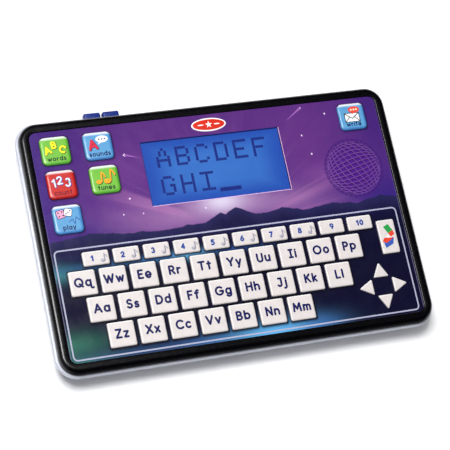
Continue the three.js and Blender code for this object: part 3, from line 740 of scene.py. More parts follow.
# Each letter is its width and its strokes, on a unit capital height, as along the pen's middle
GLYPHS = {
    "A": (0.84, [[(0, 0), (0.42, 1), (0.84, 0)], [(0.15, 0.33), (0.69, 0.33)]]),
    "B": (0.6, [[(0.3, 0.53), (0, 0.53), (0, 1), (0.3, 1)] + arc(0.3, 0.765, 0.25, 0.235, 90, -90),
                [(0, 0.53), (0.32, 0.53)] + arc(0.32, 0.265, 0.28, 0.265, 90, -90) + [(0, 0), (0, 0.53)]]),
    "C": (0.8, [arc(0.48, 0.5, 0.48, 0.5, 48, 312)]),
    "D": (0.74, [[(0, 0), (0, 1), (0.26, 1)] + arc(0.26, 0.5, 0.48, 0.5, 90, -90) + [(0, 0)]]),
    "E": (0.52, [[(0.52, 1), (0, 1), (0, 0), (0.52, 0)], [(0, 0.52), (0.44, 0.52)]]),
    "F": (0.5, [[(0.5, 1), (0, 1), (0, 0)], [(0, 0.52), (0.42, 0.52)]]),
    "G": (0.92, [arc(0.48, 0.5, 0.48, 0.5, 48, 345), [(0.94, 0.4), (0.94, 0.47), (0.56, 0.47)]]),
    "H": (0.68, [[(0, 0), (0, 1)], [(0.68, 0), (0.68, 1)], [(0, 0.52), (0.68, 0.52)]]),
    "I": (0.42, [[(0.21, 0), (0.21, 1)], [(0, 1), (0.42, 1)], [(0, 0), (0.42, 0)]]),
    "J": (0.46, [[(0.12, 1), (0.46, 1), (0.46, 0.24)] + arc(0.22, 0.24, 0.24, 0.24, 0, -150)]),
    "K": (0.62, [[(0, 0), (0, 1)], [(0.6, 1), (0, 0.4)], [(0.2, 0.6), (0.64, 0)]]),
    "L": (0.48, [[(0, 1), (0, 0), (0.48, 0)]]),
    "M": (0.92, [[(0, 0), (0.1, 1), (0.46, 0.28), (0.82, 1), (0.92, 0)]]),
    "N": (0.68, [[(0, 0), (0, 1), (0.68, 0), (0.68, 1)]]),
    "O": (0.96, [arc(0.48, 0.5, 0.48, 0.5, 0, 360)]),
    "P": (0.56, [[(0, 0), (0, 1), (0.28, 1)] + arc(0.28, 0.73, 0.28, 0.27, 90, -90) + [(0, 0.46)]]),
    "Q": (0.96, [arc(0.48, 0.5, 0.48, 0.5, 0, 360), [(0.56, 0.3), (0.94, -0.06)]]),
    "R": (0.6, [[(0, 0), (0, 1), (0.28, 1)] + arc(0.28, 0.73, 0.28, 0.27, 90, -90) + [(0, 0.46)],
                [(0.28, 0.46), (0.6, 0)]]),
    "S": (0.56, [arc(0.29, 0.755, 0.26, 0.245, 35, 270) + arc(0.27, 0.255, 0.29, 0.255, 90, -150)]),
    "T": (0.72, [[(0.36, 0), (0.36, 1)], [(0, 1), (0.72, 1)]]),
    "U": (0.66, [[(0, 1), (0, 0.33)] + arc(0.33, 0.33, 0.33, 0.33, 180, 360) + [(0.66, 1)]]),
    "V": (0.78, [[(0, 1), (0.39, 0), (0.78, 1)]]),
    "W": (1.12, [[(0, 1), (0.28, 0), (0.56, 0.86), (0.84, 0), (1.12, 1)]]),
    "X": (0.7, [[(0, 0), (0.7, 1)], [(0, 1), (0.7, 0)]]),
    "Y": (0.74, [[(0, 1), (0.37, 0.46), (0.74, 1)], [(0.37, 0.46), (0.37, 0)]]),
    "Z": (0.62, [[(0, 1), (0.62, 1), (0, 0), (0.62, 0)]]),
    "a": (0.6, [BOWL, [(0.6, X), (0.6, 0)]]),
    "b": (0.6, [BOWL, [(0, 1), (0, 0)]]),
    "c": (0.5, [arc(0.3, X / 2, 0.3, X / 2, 48, 312)]),
    "d": (0.6, [BOWL, [(0.6, 1), (0.6, 0)]]),
    "e": (0.62, [[(0.02, 0.3), (0.62, 0.3)] + arc(0.31, X / 2, 0.31, X / 2 + 0.02, 0, 312)]),
    "f": (0.42, [arc(0.34, 0.8, 0.18, 0.2, 60, 180) + [(0.16, 0)], [(0, X), (0.36, X)]]),
    "g": (0.6, [BOWL, [(0.6, X), (0.6, -0.06)] + arc(0.31, -0.08, 0.29, 0.24, 0, -150)]),
    "h": (0.54, [[(0, 1), (0, 0)], arc(0.27, 0.38, 0.27, 0.27, 180, 0) + [(0.54, 0)]]),
    "i": (0, [[(0, X), (0, 0)], [(0, 0.94), (0, 0.96)]]),
    "j": (0.2, [[(0.2, X), (0.2, -0.12)] + arc(0, -0.12, 0.2, 0.2, 0, -110), [(0.2, 0.94), (0.2, 0.96)]]),
    "k": (0.46, [[(0, 1), (0, 0)], [(0.43, X), (0, 0.25)], [(0.14, 0.38), (0.46, 0)]]),
    "l": (0, [[(0, 1), (0, 0)]]),
    "m": (0.84, [[(0, X), (0, 0)], arc(0.21, 0.42, 0.21, 0.23, 180, 0) + [(0.42, 0)],
                 arc(0.63, 0.42, 0.21, 0.23, 180, 0) + [(0.84, 0)]]),
    "n": (0.54, [[(0, X), (0, 0)], arc(0.27, 0.38, 0.27, 0.27, 180, 0) + [(0.54, 0)]]),
    "o": (0.6, [BOWL]),
    "p": (0.6, [BOWL, [(0, X), (0, -0.36)]]),
    "q": (0.68, [BOWL, [(0.6, X), (0.6, -0.2)] + arc(0.76, -0.2, 0.16, 0.14, 180, 320)]),
    "r": (0.34, [[(0, X), (0, 0)], arc(0.26, 0.35, 0.26, 0.3, 180, 70)]),
    "s": (0.4, [arc(0.21, 0.49, 0.19, 0.16, 35, 270) + arc(0.19, 0.165, 0.21, 0.165, 90, -150)]),
    "t": (0.38, [[(0.19, 0.94), (0.19, 0)], [(0, X), (0.38, X)]]),
    "u": (0.54, [[(0, X), (0, 0.27)] + arc(0.27, 0.27, 0.27, 0.27, 180, 360), [(0.54, X), (0.54, 0)]]),
    "v": (0.56, [[(0, X), (0.28, 0), (0.56, X)]]),
    "w": (0.84, [[(0, X), (0.21, 0), (0.42, 0.56), (0.63, 0), (0.84, X)]]),
    "x": (0.5, [[(0, 0), (0.5, X)], [(0, X), (0.5, 0)]]),
    "y": (0.56, [[(0, X), (0.28, 0.02)], [(0.56, X), (0.17, -0.32)]]),
    "z": (0.46, [[(0, X), (0.46, X), (0, 0), (0.46, 0)]]),
    "0": (0.6, [arc(0.3, 0.5, 0.3, 0.5, 0, 360)]),
    "1": (0.26, [[(0, 0.76), (0.26, 1), (0.26, 0)]]),
    "2": (0.58, [arc(0.28, 0.71, 0.28, 0.29, 165, -25) + [(0, 0), (0.58, 0)]]),
    "3": (0.54, [arc(0.25, 0.765, 0.23, 0.235, 145, -90) + arc(0.25, 0.265, 0.28, 0.265, 90, -145)]),
    "4": (0.6, [[(0.44, 0), (0.44, 1), (0, 0.3), (0.6, 0.3)]]),
    "5": (0.54, [[(0.5, 1), (0.09, 1), (0.05, 0.58)] + arc(0.25, 0.32, 0.3, 0.32, 125, -140)]),
    "6": (0.58, [arc(0.29, 0.3, 0.29, 0.3, 0, 360), [(0.42, 1), (0.12, 0.6), (0, 0.34)]]),
    "7": (0.54, [[(0, 1), (0.54, 1), (0.18, 0)]]),
    "8": (0.56, [arc(0.28, 0.77, 0.22, 0.23, 0, 360), arc(0.28, 0.27, 0.28, 0.27, 0, 360)]),
    "9": (0.58, [arc(0.29, 0.7, 0.29, 0.3, 0, 360), [(0.58, 0.7), (0.52, 0.35), (0.3, 0)]]),
}
LETTER_SPACE = 0.16


class Print:
    """Flat printed shapes that become one mesh, each layer a hair above the one before."""

    def __init__(self, x=0.0, y=0.0, z=0.0, turn=0.0):
        self.vertices = []
        self.faces = []
        self.z = z
        self.move(x, y, turn)

    def move(self, x, y, turn=0.0):
        """Later shapes are turned by degrees about their own origin and put at x, y."""
        self.origin = Vector((x, y))
        self.turn = Matrix.Rotation(math.radians(turn), 2)
        return self

    def polygon(self, points):
        start = len(self.vertices)
        placed = [self.turn @ Vector(p) + self.origin for p in points]
        self.vertices += [(p.x, p.y, self.z) for p in placed]
        self.faces.append(tuple(range(start, start + len(points))))
        return self

    def lift(self, layers=1):
        self.z += INK_LIFT * layers
        return self

    def ribbon(self, points, width):
        """A pen line of constant width with round ends, and no sharp bends."""
        points = [Vector(p) for p in points]
        closed = (points[0] - points[-1]).length < 1e-6
        if closed:
            points = points[:-1]
        count = len(points)
        sides = []
        for i, point in enumerate(points):
            before = points[i - 1] if closed or i > 0 else point
            after = points[(i + 1) % count] if closed or i + 1 < count else point
            along = (after - before).normalized()
            sides.append(Vector((-along.y, along.x)) * (width / 2))
        for i in range(count if closed else count - 1):
            j = (i + 1) % count
            self.polygon([points[i] - sides[i], points[j] - sides[j],
                          points[j] + sides[j], points[i] + sides[i]])
        if not closed:
            for point, side in ((points[0], sides[0]), (points[-1], -sides[-1])):
                angles = [math.radians(30 * k) for k in range(7)]
                self.polygon([point + Matrix.Rotation(a, 2) @ side for a in angles])
        return self

    def stroke(self, points, width):
        """A pen line with round ends, split where it turns sharply so that each corner is round."""
        piece = [Vector(points[0])]
        for i in range(1, len(points)):
            piece.append(Vector(points[i]))
            if i + 1 < len(points):
                bend = (piece[-1] - piece[-2]).angle(Vector(points[i + 1]) - piece[-1], 0.0)
                if bend > math.radians(40):
                    self.ribbon(piece, width).lift(0.1)
                    piece = [Vector(points[i])]
        return self.ribbon(piece, width).lift(0.1)

    def text(self, word, height, pen):
        """A word centred on the origin across, with its baseline on the origin."""
        scale = height - pen
        widths = [GLYPHS[c][0] * scale + pen for c in word]
        space = LETTER_SPACE * scale
        left = -(sum(widths) + space * (len(word) - 1)) / 2
        for c, width in zip(word, widths):
            for points in GLYPHS[c][1]:
                self.stroke([(left + pen / 2 + x * scale, pen / 2 + y * scale) for x, y in points], pen)
            left += width + space
        return self

    def piece(self, name, body, slot, material):
        return finish_piece(new_object(name, self.vertices, self.faces), body, slot, material)


# ---------------------------------------------------------------- keys


def cap_rings(corners, radius, steps, crown, low_z, top_z):
    """Flange, skirt and softly rounded crown of a key or button."""
    width, height = crown
    flange_top = low_z + CAP_FLANGE_THICKNESS

    def ring(distance, z):
        return rounded(grow(corners, distance), radius, steps), z
    rings = [ring(CAP_FLANGE, low_z), ring(CAP_FLANGE, flange_top), ring(0, flange_top)]
    for angle in quarter_turn(7):
        inset = width * (1 - math.cos(angle))
        rings.append(ring(-inset, top_z - height + height * math.sin(angle)))
    rings.append(ring(-width - 0.5, top_z))
    return rings


def make_cap(node, slot, material, radius, crown, corners=None):
    """A key or button in place of its CAD node, with its own origin straight under the middle of its top."""
    low, high = span(node)
    centre = (low + high) / 2
    if corners is None:
        corners = rectangle(0, 0, high.x - low.x - 2 * CAP_FLANGE, high.y - low.y - 2 * CAP_FLANGE)
    steps = 8 if radius > 2 else 5
    rings = cap_rings(corners, radius, steps, crown, low.z, high.z)
    cap = new_object(f"{node}_cap", *loft(rings), location=(centre.x, centre.y, 0))
    return finish_piece(cap, node, slot, material, node)


def arrow_corners(node):
    """The corner points of a triangular key, from its box and the way it points."""
    low, high = span(node)
    size = high - low - Vector((2 * CAP_FLANGE,) * 3)
    turns = {"key_up": 0, "key_left": 90, "key_down": 180, "key_right": 270}
    turn = turns[node]
    wide, tall = (size.x, size.y) if turn % 180 == 0 else (size.y, size.x)
    # The CAD key's corners are rounded, so its sharp outline is a little larger than its box
    base, tip = wide / 2 + 0.6, tall / 2
    points = [Vector((-base, -tip)), Vector((base, -tip)), Vector((0, tip + 0.75))]
    return [Matrix.Rotation(math.radians(turn), 2) @ p for p in points]


LETTERS = "qwertyuiopasdfghjklzxcvbnm"
LETTER_KEYS = [f"key_{c}" for c in LETTERS]
NUMBER_KEYS = [f"key_{n}" for n in range(1, 11)]
ARROW_KEYS = ["key_up", "key_left", "key_down", "key_right"]
MODE_BUTTONS = [f"button_{mode}" for mode in ("letters", "phonics", "numbers", "music", "games", "typing")]


def key_row_shadow(nodes, reach, strength):
    """A shading function: dark just outside the keys of one row, fading over a reach in millimetres."""
    first, last = middle(nodes[0]) - FACE_CENTRE, middle(nodes[-1]) - FACE_CENTRE
    low, high = span(nodes[0])
    radius = 2.5 if nodes[0].startswith("button") else 0.8
    half_x = (high.x - low.x) / 2 - CAP_FLANGE - radius
    half_y = (high.y - low.y) / 2 - CAP_FLANGE - radius
    pitch = (last.x - first.x) / max(len(nodes) - 1, 1) or 1.0

    def shade(shader, x, y):
        # The shadow lies a little towards the near right of each key
        shifted = shader.sub(x, first.x + 0.35)
        column = shader.math("ROUND", shader.math("DIVIDE", shifted, pitch))
        column = shader.math("MINIMUM", shader.math("MAXIMUM", column, 0.0), len(nodes) - 1.0)
        u = shader.absolute(shader.sub(shifted, shader.mul(column, pitch)))
        v = shader.absolute(shader.sub(y, first.y - 0.35))
        u = shader.math("MAXIMUM", shader.sub(u, half_x), 0.0)
        v = shader.math("MAXIMUM", shader.sub(v, half_y), 0.0)
        return shader.remap(shader.length(u, v), radius, radius + reach, strength, 0.0, smooth=True)
    return shade


KEY_SHADOWS = [
    key_row_shadow([f"key_{c}" for c in "qwertyuiop"], 2.0, 0.9),
    key_row_shadow([f"key_{c}" for c in "asdfghjkl"], 2.0, 0.9),
    key_row_shadow([f"key_{c}" for c in "zxcvbnm"], 2.0, 0.9),
    key_row_shadow(NUMBER_KEYS, 1.6, 0.8),
    key_row_shadow(["button_letters", "button_phonics"], 1.5, 0.5),
    key_row_shadow(["button_numbers", "button_music"], 1.5, 0.5),
    key_row_shadow(["button_games"], 1.5, 0.5),
    key_row_shadow(["button_typing"], 1.5, 0.5),
]


NOTE_LAYERS = (("shade", "note_grey", 0.34, 1), ("note", "note_white", 0.0, 3))


def make_keys(white, inks):
    for node in LETTER_KEYS + NUMBER_KEYS + ["key_erase"]:
        make_cap(node, "key_white", white, KEY_RADIUS, KEY_CROWN)
    for node in ARROW_KEYS:
        make_cap(node, "key_white", white, 0.6, (0.9, 0.7), arrow_corners(node))
    for letter, node in zip(LETTERS, LETTER_KEYS):
        centre = middle(node)
        legend = Print(centre.x, centre.y + LETTER_BASELINE, KEY_TOP + INK_LIFT)
        legend.text(letter.upper() + letter, LETTER_CAP_HEIGHT, LETTER_STROKE)
        legend.piece(f"legend_{letter}", node, "key_white", inks["navy"])
    for number, node in enumerate(NUMBER_KEYS, 1):
        centre = middle(node)
        has_note = number <= 8
        x = centre.x - 2.5 if has_note else centre.x
        legend = Print(x, centre.y - DIGIT_HEIGHT / 2, KEY_TOP + INK_LIFT)
        legend.text(str(number), DIGIT_HEIGHT, DIGIT_STROKE)
        legend.piece(f"legend_{number}", node, "key_white", inks["steel_blue"])
        if has_note:
            for name, colour, shift, layer in NOTE_LAYERS:
                note = Print(centre.x + 4.9 + shift, centre.y - shift, KEY_TOP + layer * INK_LIFT)
                eighth_note(note, 3.8, 0.55)
                note.piece(f"legend_{number}_{name}", node, "key_white", inks[colour])


def eighth_note(sheet, height, pen):
    """A filled head, a stem and a flag, centred on the sheet's place."""
    head = height * 0.28
    sheet.polygon(ellipse(-head * 0.8, -height * 0.5, head * 1.15, head * 0.85, 16)).lift(0.1)
    sheet.stroke([(0.1 * height, -height * 0.45), (0.1 * height, height * 0.62)], pen)
    sheet.stroke([(0.1 * height, height * 0.62), (0.35 * height, height * 0.42),
                  (0.5 * height, height * 0.12)], pen)


# The blocks on the erase key: a leaning green block that turns red at its foot, and a red block over
# a blue one that leans the other way, as name, ink and corner points from the key's middle
ERASE_BLOCKS = [
    ("green", "erase_green", [(-2.2, 6.8), (1.5, 8.4), (3.9, 3.9), (0.3, 2.1)]),
    ("red", "erase_red", [(0.3, 2.1), (3.9, 3.9), (4.7, 1.2), (1.7, -0.6)]),
    ("red_top", "erase_red", [(-4.8, -3.2), (-3.2, -0.8), (3.6, -1.0), (-1.8, -4.4)]),
    ("blue", "erase_blue", [(-4.2, -3.6), (-1.8, -4.4), (3.6, -1.0), (2.4, -5.4), (-3.2, -7.8)]),
    ("white", "white", [(-0.6, 0.9), (1.7, -0.6), (2.2, -1.0), (-1.0, -0.9)]),
]


def make_erase_pictogram(inks):
    centre = middle("key_erase")
    for layer, (name, colour, corners) in enumerate(ERASE_BLOCKS, 2):
        block = Print(centre.x, centre.y, KEY_TOP + layer * INK_LIFT / 2)
        block.polygon(corners)
        block.piece(f"erase_{name}", "key_erase", "key_white", inks[colour])


# ---------------------------------------------------------------- mode buttons


WORD_HEIGHT = 3.3
WORD_PEN = 0.6
WORD_Y = -7.1
SHADE_LAYER, FRONT_LAYER = 2, 12    # printed layers of a pictogram's shadow and of the pictogram itself


def button_print(node, layer):
    centre = middle(node)
    sheet = Print(z=span(node)[1].z + layer * INK_LIFT)
    return centre, sheet


def shaded_text(node, name, marks, pen, front, shade):
    """Tilted letters as (character, x, y, height, turn), with an offset shadow under them."""
    parts = (("shade", shade, 0.3, SHADE_LAYER, 0.45), ("ink", front, 0.0, FRONT_LAYER, 0.0))
    for part, material, shift, layer, extra in parts:
        centre, sheet = button_print(node, layer)
        for character, x, y, height, turn in marks:
            sheet.move(centre.x + x + shift, centre.y + y - shift, turn)
            sheet.text(character, height + extra, pen + extra)
        sheet.piece(f"{name}_{part}", node, frame_slot(node), material)


def frame_slot(node):
    """The material slot that the record gives a node."""
    return next(s["material_slot"] for s in frame["record"]["subparts"] if s["node"] == node)


def word(node, text, material):
    centre, sheet = button_print(node, 2)
    sheet.move(centre.x, centre.y + WORD_Y).text(text, WORD_HEIGHT, WORD_PEN)
    sheet.piece(f"word_{text}", node, frame_slot(node), material)


def shape(node, name, material, layer, outlines):
    """Filled outlines round the button's middle."""
    centre, sheet = button_print(node, layer)
    sheet.move(centre.x, centre.y)
    for outline in outlines:
        sheet.polygon(outline).lift(0.1)
    sheet.piece(name, node, frame_slot(node), material)


def bubble(x, y, wide, deep, tail_x, tail_y):
    """A speech bubble: an ellipse and a tail that ends at a point."""
    tail = [Vector((x - wide * 0.45, y - deep * 0.6)), Vector((tail_x, tail_y)), Vector((x, y - deep * 0.8))]
    return [ellipse(x, y, wide, deep), tail]


def make_mode_buttons(inks):
    green = mode_button("button_green", srgb(118, 190, 60), srgb(52, 140, 44))
    blue = mode_button("button_blue", srgb(92, 160, 208), srgb(40, 98, 176))
    red = mode_button("button_red", srgb(200, 34, 26), srgb(140, 14, 24))
    colours = (green, blue, red, green, blue, blue)
    for node, material in zip(MODE_BUTTONS, colours):
        make_cap(node, frame_slot(node), material, BUTTON_RADIUS, BUTTON_CROWN)

    shaded_text("button_letters", "abc",
                [("A", -4.4, -2.3, 5.5, 16), ("B", -0.6, 1.0, 5.2, 3), ("C", 3.7, -2.2, 5.3, -20)],
                1.25, inks["yellow"], inks["dark_green"])
    word("button_letters", "words", inks["dark_green"])

    shaded_text("button_phonics", "letter_a", [("A", -3.4, -2.8, 7.3, 6)], 1.6, inks["crimson"], inks["navy"])
    shape("button_phonics", "speech_bubble", inks["white"], 4, bubble(2.9, 4.3, 4.1, 2.3, -0.4, 0.6))
    shape("button_phonics", "speech_dots", inks["navy"], 6,
          [ellipse(2.9 + k * 1.9, 4.3, 0.55, 0.55, 12) for k in (-1, 0, 1)])
    word("button_phonics", "sounds", inks["navy"])

    shaded_text("button_numbers", "digits",
                [("1", -5.0, -1.8, 5.8, 4), ("2", -1.1, -0.2, 5.7, 2), ("3", 3.7, -2.2, 6.0, -6)],
                1.1, inks["pale_blue"], inks["deep_blue"])
    word("button_numbers", "count", inks["dark_red"])

    for part, colour, shift, layer in (("shade", "dark_green", 0.4, SHADE_LAYER),
                                       ("ink", "orange", 0, FRONT_LAYER)):
        centre, sheet = button_print("button_music", layer)
        for x, y, height in ((-2.7, 1.2, 5.8), (3.2, 1.8, 7.0)):
            sheet.move(centre.x + x + shift, centre.y + y - shift, -6)
            eighth_note(sheet, height, 0.95)
        sheet.piece(f"notes_{part}", "button_music", "green_plastic", inks[colour])
    word("button_music", "tunes", inks["dark_green"])

    # Two dice and a zigzag path
    dice = [(-4.3, 3.6, 5.0, 12, "pink"), (0.6, 4.4, 4.6, -14, "white")]
    for k, (x, y, size, turn, colour) in enumerate(dice):
        places = ((-1, -1), (1, 1), (0, 0)) if k else ((-1, -1), (1, 1), (-1, 1), (1, -1))
        pips = [circle(px * size * 0.25, py * size * 0.25, 0.5, 12) for px, py in places]
        parts = (("_edge", [rounded(rectangle(0, 0, size + 0.7, size + 0.7), 1.1, 4)], "navy"),
                 ("", [rounded(rectangle(0, 0, size, size), 0.9, 4)], colour),
                 ("_pips", pips, "navy"))
        for layer, (suffix, outlines, print_ink) in enumerate(parts, 2 + 4 * k):
            centre, sheet = button_print("button_games", layer)
            sheet.move(centre.x + x, centre.y + y, turn)
            for outline in outlines:
                sheet.polygon(outline)
            sheet.piece(f"die_{k}{suffix}", "button_games", "blue_plastic", inks[print_ink])
    centre, sheet = button_print("button_games", 2)
    sheet.move(centre.x, centre.y)
    sheet.stroke([(0.4, -2.2), (2.6, -0.2), (4.0, -3.6), (5.2, 0.8), (7.6, -1.6)], 0.42)
    sheet.piece("zigzag", "button_games", "blue_plastic", inks["deep_blue"])
    word("button_games", "play", inks["navy"])

    shape("button_typing", "envelope_edge", inks["dark"], 2, [rectangle(-0.3, -0.8, 10.9, 6.7)])
    shape("button_typing", "envelope", inks["white"], 3, [rectangle(-0.3, -0.8, 9.9, 5.7)])
    centre, sheet = button_print("button_typing", 5)
    sheet.move(centre.x - 0.3, centre.y)
    sheet.stroke([(-4.9, 2.0), (0, -1.5), (4.9, 2.0)], 0.6)
    sheet.stroke([(-4.9, -3.5), (-1.6, -0.4)], 0.5)
    sheet.stroke([(4.9, -3.5), (1.6, -0.4)], 0.5)
    sheet.piece("envelope_folds", "button_typing", "blue_plastic", inks["dark"])
    shape("button_typing", "message_bubble", inks["coral"], 8, bubble(1.8, 4.6, 4.1, 2.3, 0.2, 1.3))
    shape("button_typing", "message_dots", inks["cream"], 10,
          [ellipse(1.8 + k * 1.9, 4.6, 0.6, 0.8, 12) for k in (-1, 0, 1)])
    word("button_typing", "write", inks["navy"])


# ---------------------------------------------------------------- display


DOT_PITCH = 1.87
DOT_SIZE = (1.78, 1.8)
DOT_ROWS = {
    "A": ("..#..", ".#.#.", ".#.#.", "#...#", "#####", "#...#", "#...#"),
    "B": ("####.", "#...#", "#...#", "####.", "#...#", "#...#", "####."),
    "C": (".###.", "#...#", "#....", "#....", "#....", "#...#", ".###."),
    "D": ("####.", "#...#", "#...#", "#...#", "#...#", "#...#", "####."),
    "E": ("#####", "#....", "#....", "####.", "#....", "#....", "#####"),
    "F": ("#####", "#....", "#....", "####.", "#....", "#....", "#...."),
    "G": (".###.", "#...#", "#....", "#..##", "#...#", "#...#", ".###."),
    "H": ("#...#", "#...#", "#...#", "#####", "#...#", "#...#", "#...#"),
    "I": ("#####", "..#..", "..#..", "..#..", "..#..", "..#..", "#####"),
}
CHARACTER_PITCH = 13.3
TEXT_INSET = 9.4                    # from the window's left edge to the middle of the first dot
LINE_INSETS = {"ABCDEF": 5.6, "GHI": 24.9}
CURSOR_COLUMN, CURSOR_HEIGHT_UP, CURSOR_SIZE = 3.37, 5.5, (14.6, 2.7)


def make_display(inks):
    """Dot-matrix characters on the display glass, and a painted highlight and painted shade on the edges of
    its window.
    """
    sheet = Print(z=span("lcd_module")[1].z + INK_LIFT)
    left = WINDOW_LOW.x + TEXT_INSET
    for line, inset in LINE_INSETS.items():
        top_y = WINDOW_HIGH.y - inset
        for index, character in enumerate(line):
            for row, dots in enumerate(DOT_ROWS[character]):
                for column, dot in enumerate(dots):
                    if dot == "#":
                        x = left + index * CHARACTER_PITCH + column * DOT_PITCH
                        sheet.polygon(rectangle(x, top_y - row * DOT_PITCH, *DOT_SIZE))
    cursor_x = left + CURSOR_COLUMN * CHARACTER_PITCH
    sheet.polygon(rectangle(cursor_x, WINDOW_LOW.y + CURSOR_HEIGHT_UP, *CURSOR_SIZE))
    sheet.piece("display_characters", "case", "display_glass", inks["display_ink"])

    # The window's cut edge: a painted highlight on the near and right sides, painted shade on the other two
    x0, y0, x1, y1 = WINDOW_LOW.x - GAP, WINDOW_LOW.y - GAP, WINDOW_HIGH.x + GAP, WINDOW_HIGH.y + GAP
    mid_x, mid_y, bar = (x0 + x1) / 2, (y0 + y1) / 2, 0.4
    edges = {
        "lit": ("glint", [(mid_x, y0 - 0.2, x1 - x0 + bar, bar), (x1 + 0.2, mid_y, bar, y1 - y0)]),
        "shaded": ("window_shade", [(mid_x, y1 + 0.2, x1 - x0, bar), (x0 - 0.2, mid_y, bar, y1 - y0)]),
    }
    for name, (colour, strips) in edges.items():
        sheet = Print(z=FACE_Z + INK_LIFT)
        for strip in strips:
            sheet.polygon(rectangle(*strip))
        sheet.piece(f"window_{name}_edge", "case", "printed_panel", inks[colour])


# ---------------------------------------------------------------- face prints


STARS = [(-60, 54.6, 1.3), (-62.2, 25, 0.95), (-68.2, 14.9, 0.7), (-55.2, 14.2, 0.7), (-13.6, 12.6, 0.85),
         (65.6, 73.2, 1.0), (82, 67.5, 0.9), (62.6, 54, 0.8), (66.6, 40.4, 0.85)]
COMETS = [(-60, 54.6, 10, -17), (65.8, 73.4, 15, 214)]
KEYBOARD_FRAME = (-117.9, -74.8, 116.3, -3)
FRAME_LINE = 0.95
FRAME_CORNER = 3.2
BADGE_PLACE = (0.2, 68.8)
# Rim and dome of the badge as (name, half width, half depth, height, ink)
BADGE_PARTS = [("badge_rim", 12.0, 4.6, 0.35, "badge_white"), ("badge_dome", 11.1, 3.75, 0.55, "badge_red")]


def star_points(tips, outer, inner, turn=0.0):
    """A star with its points on one circle and the notches on a smaller one."""
    points = []
    for k in range(2 * tips):
        radius = inner if k % 2 else outer
        angle = math.pi * (k / tips + turn)
        points.append((radius * math.cos(angle), radius * math.sin(angle)))
    return points


def flat_ring(points_outside, points_inside, z):
    """A flat band between two outlines of equal point count."""
    count = len(points_outside)
    vertices = [(p.x, p.y, z) for p in points_outside + points_inside]
    faces = [(i, (i + 1) % count, count + (i + 1) % count, count + i) for i in range(count)]
    return vertices, faces


def make_face_prints(inks):
    z = FACE_Z + INK_LIFT
    x0, y0, x1, y1 = KEYBOARD_FRAME
    corners = rectangle(FACE_CENTRE.x + (x0 + x1) / 2, FACE_CENTRE.y + (y0 + y1) / 2, x1 - x0, y1 - y0)
    outside = rounded(corners, FRAME_CORNER, 8)
    inside = rounded(grow(corners, -FRAME_LINE), FRAME_CORNER - FRAME_LINE, 8)
    line = new_object("keyboard_frame_line", *flat_ring(outside, inside, z))
    finish_piece(line, "case", "printed_panel", inks["lavender"])

    stars = Print(z=z)
    for x, y, size in STARS:
        stars.move(*on_face(x, y))
        stars.polygon(star_points(4, size, size / 2))
    stars.piece("sky_stars", "case", "printed_panel", inks["star"])
    trails = Print(z=z + INK_LIFT)
    for x, y, length, turn in COMETS:
        trails.move(*on_face(x, y), turn)
        trails.polygon([(0, 0.75), (0, -0.75), (length, 0)])
    trails.piece("star_trails", "case", "printed_panel", inks["trail"])

    badge_x, badge_y = on_face(*BADGE_PLACE)
    for name, wide, deep, height, colour in BADGE_PARTS:
        rings = [(ellipse(badge_x, badge_y, wide - i, deep - i, 48), FACE_Z + h) for i, h in
                 ((0, 0.0), (0, height * 0.5), (0.15, height * 0.85), (0.45, height))]
        finish_piece(new_object(name, *loft(rings)), "case", "printed_panel", inks[colour])
    star = Print(badge_x, badge_y, FACE_Z + BADGE_PARTS[-1][3] + INK_LIFT)
    star.polygon(star_points(5, 2.5, 1.0, 0.5))
    for side in (-1, 1):
        star.polygon(ellipse(side * 5.6, 0, 2.1, 0.42, 16))
    star.piece("badge_star", "case", "printed_panel", inks["badge_white"])


# ---------------------------------------------------------------- case


def make_bezel(material):
    """The gloss frame round the face, with a rounded outer edge and a fine inner lip."""
    low, high = BEZEL_LOW, BEZEL_HIGH
    width, height = BEZEL_EDGE
    steps = 12
    opening = (high.x - low.x - (PANEL_HIGH.x - PANEL_LOW.x)) / 2 - GAP

    def ring(inset, z, radius=BEZEL_RADIUS):
        return inset_rectangle(low, high, radius, inset, steps), z
    shoulder = high.z - height
    rings = [ring(2.0, low.z), ring(0.25, low.z), ring(0, low.z + 0.25)]
    for angle in quarter_turn(10):
        rings.append(ring(width * (1 - math.cos(angle)), shoulder + height * math.sin(angle)))
    inner_radius = OPENING_CORNER + opening
    rings.append(ring(opening - 0.45, high.z, inner_radius))
    rings.append(ring(opening - 0.15, high.z - 0.12, inner_radius))
    rings.append(ring(opening, high.z - 0.45, inner_radius))
    rings.append(ring(opening, PANEL_LOW.z, inner_radius))
    bezel = new_object("bezel_frame", *loft(rings, closed_tube=True))
    return finish_piece(bezel, "case", "black_gloss", material, "front_bezel")


def swept_rings(least_inset, sweep, bottom, waist):
    """Outlines up a curved underside, from its floor out to its waist."""
    rings = []
    for angle in quarter_turn(14):
        inset = least_inset + sweep * (1 - math.sin(angle))
        rings.append((cover_outline(inset), bottom + (waist - bottom) * (1 - math.cos(angle))))
    return rings


def cover_outline(inset):
    return inset_rectangle(COVER_LOW, COVER_HIGH, COVER_RADIUS, inset, 12)


def cover_outside():
    """The outside of the cover, with a rounded lip that stands out around the bezel."""
    rings = swept_rings(0, OUTSIDE_SWEEP, FLOOR_Z, OUTSIDE_WAIST_Z)
    for angle in quarter_turn(6):
        inset = COVER_LIP * (1 - math.cos(angle))
        rings.append((cover_outline(inset), COVER_HIGH.z - COVER_LIP * (1 - math.sin(angle))))
    return loft(rings)


def cover_inside():
    rings = swept_rings(COVER_WALL, INSIDE_SWEEP, FLOOR_Z + COVER_FLOOR, INSIDE_WAIST_Z)
    return loft(rings + [(cover_outline(COVER_WALL), COVER_HIGH.z + 1)])


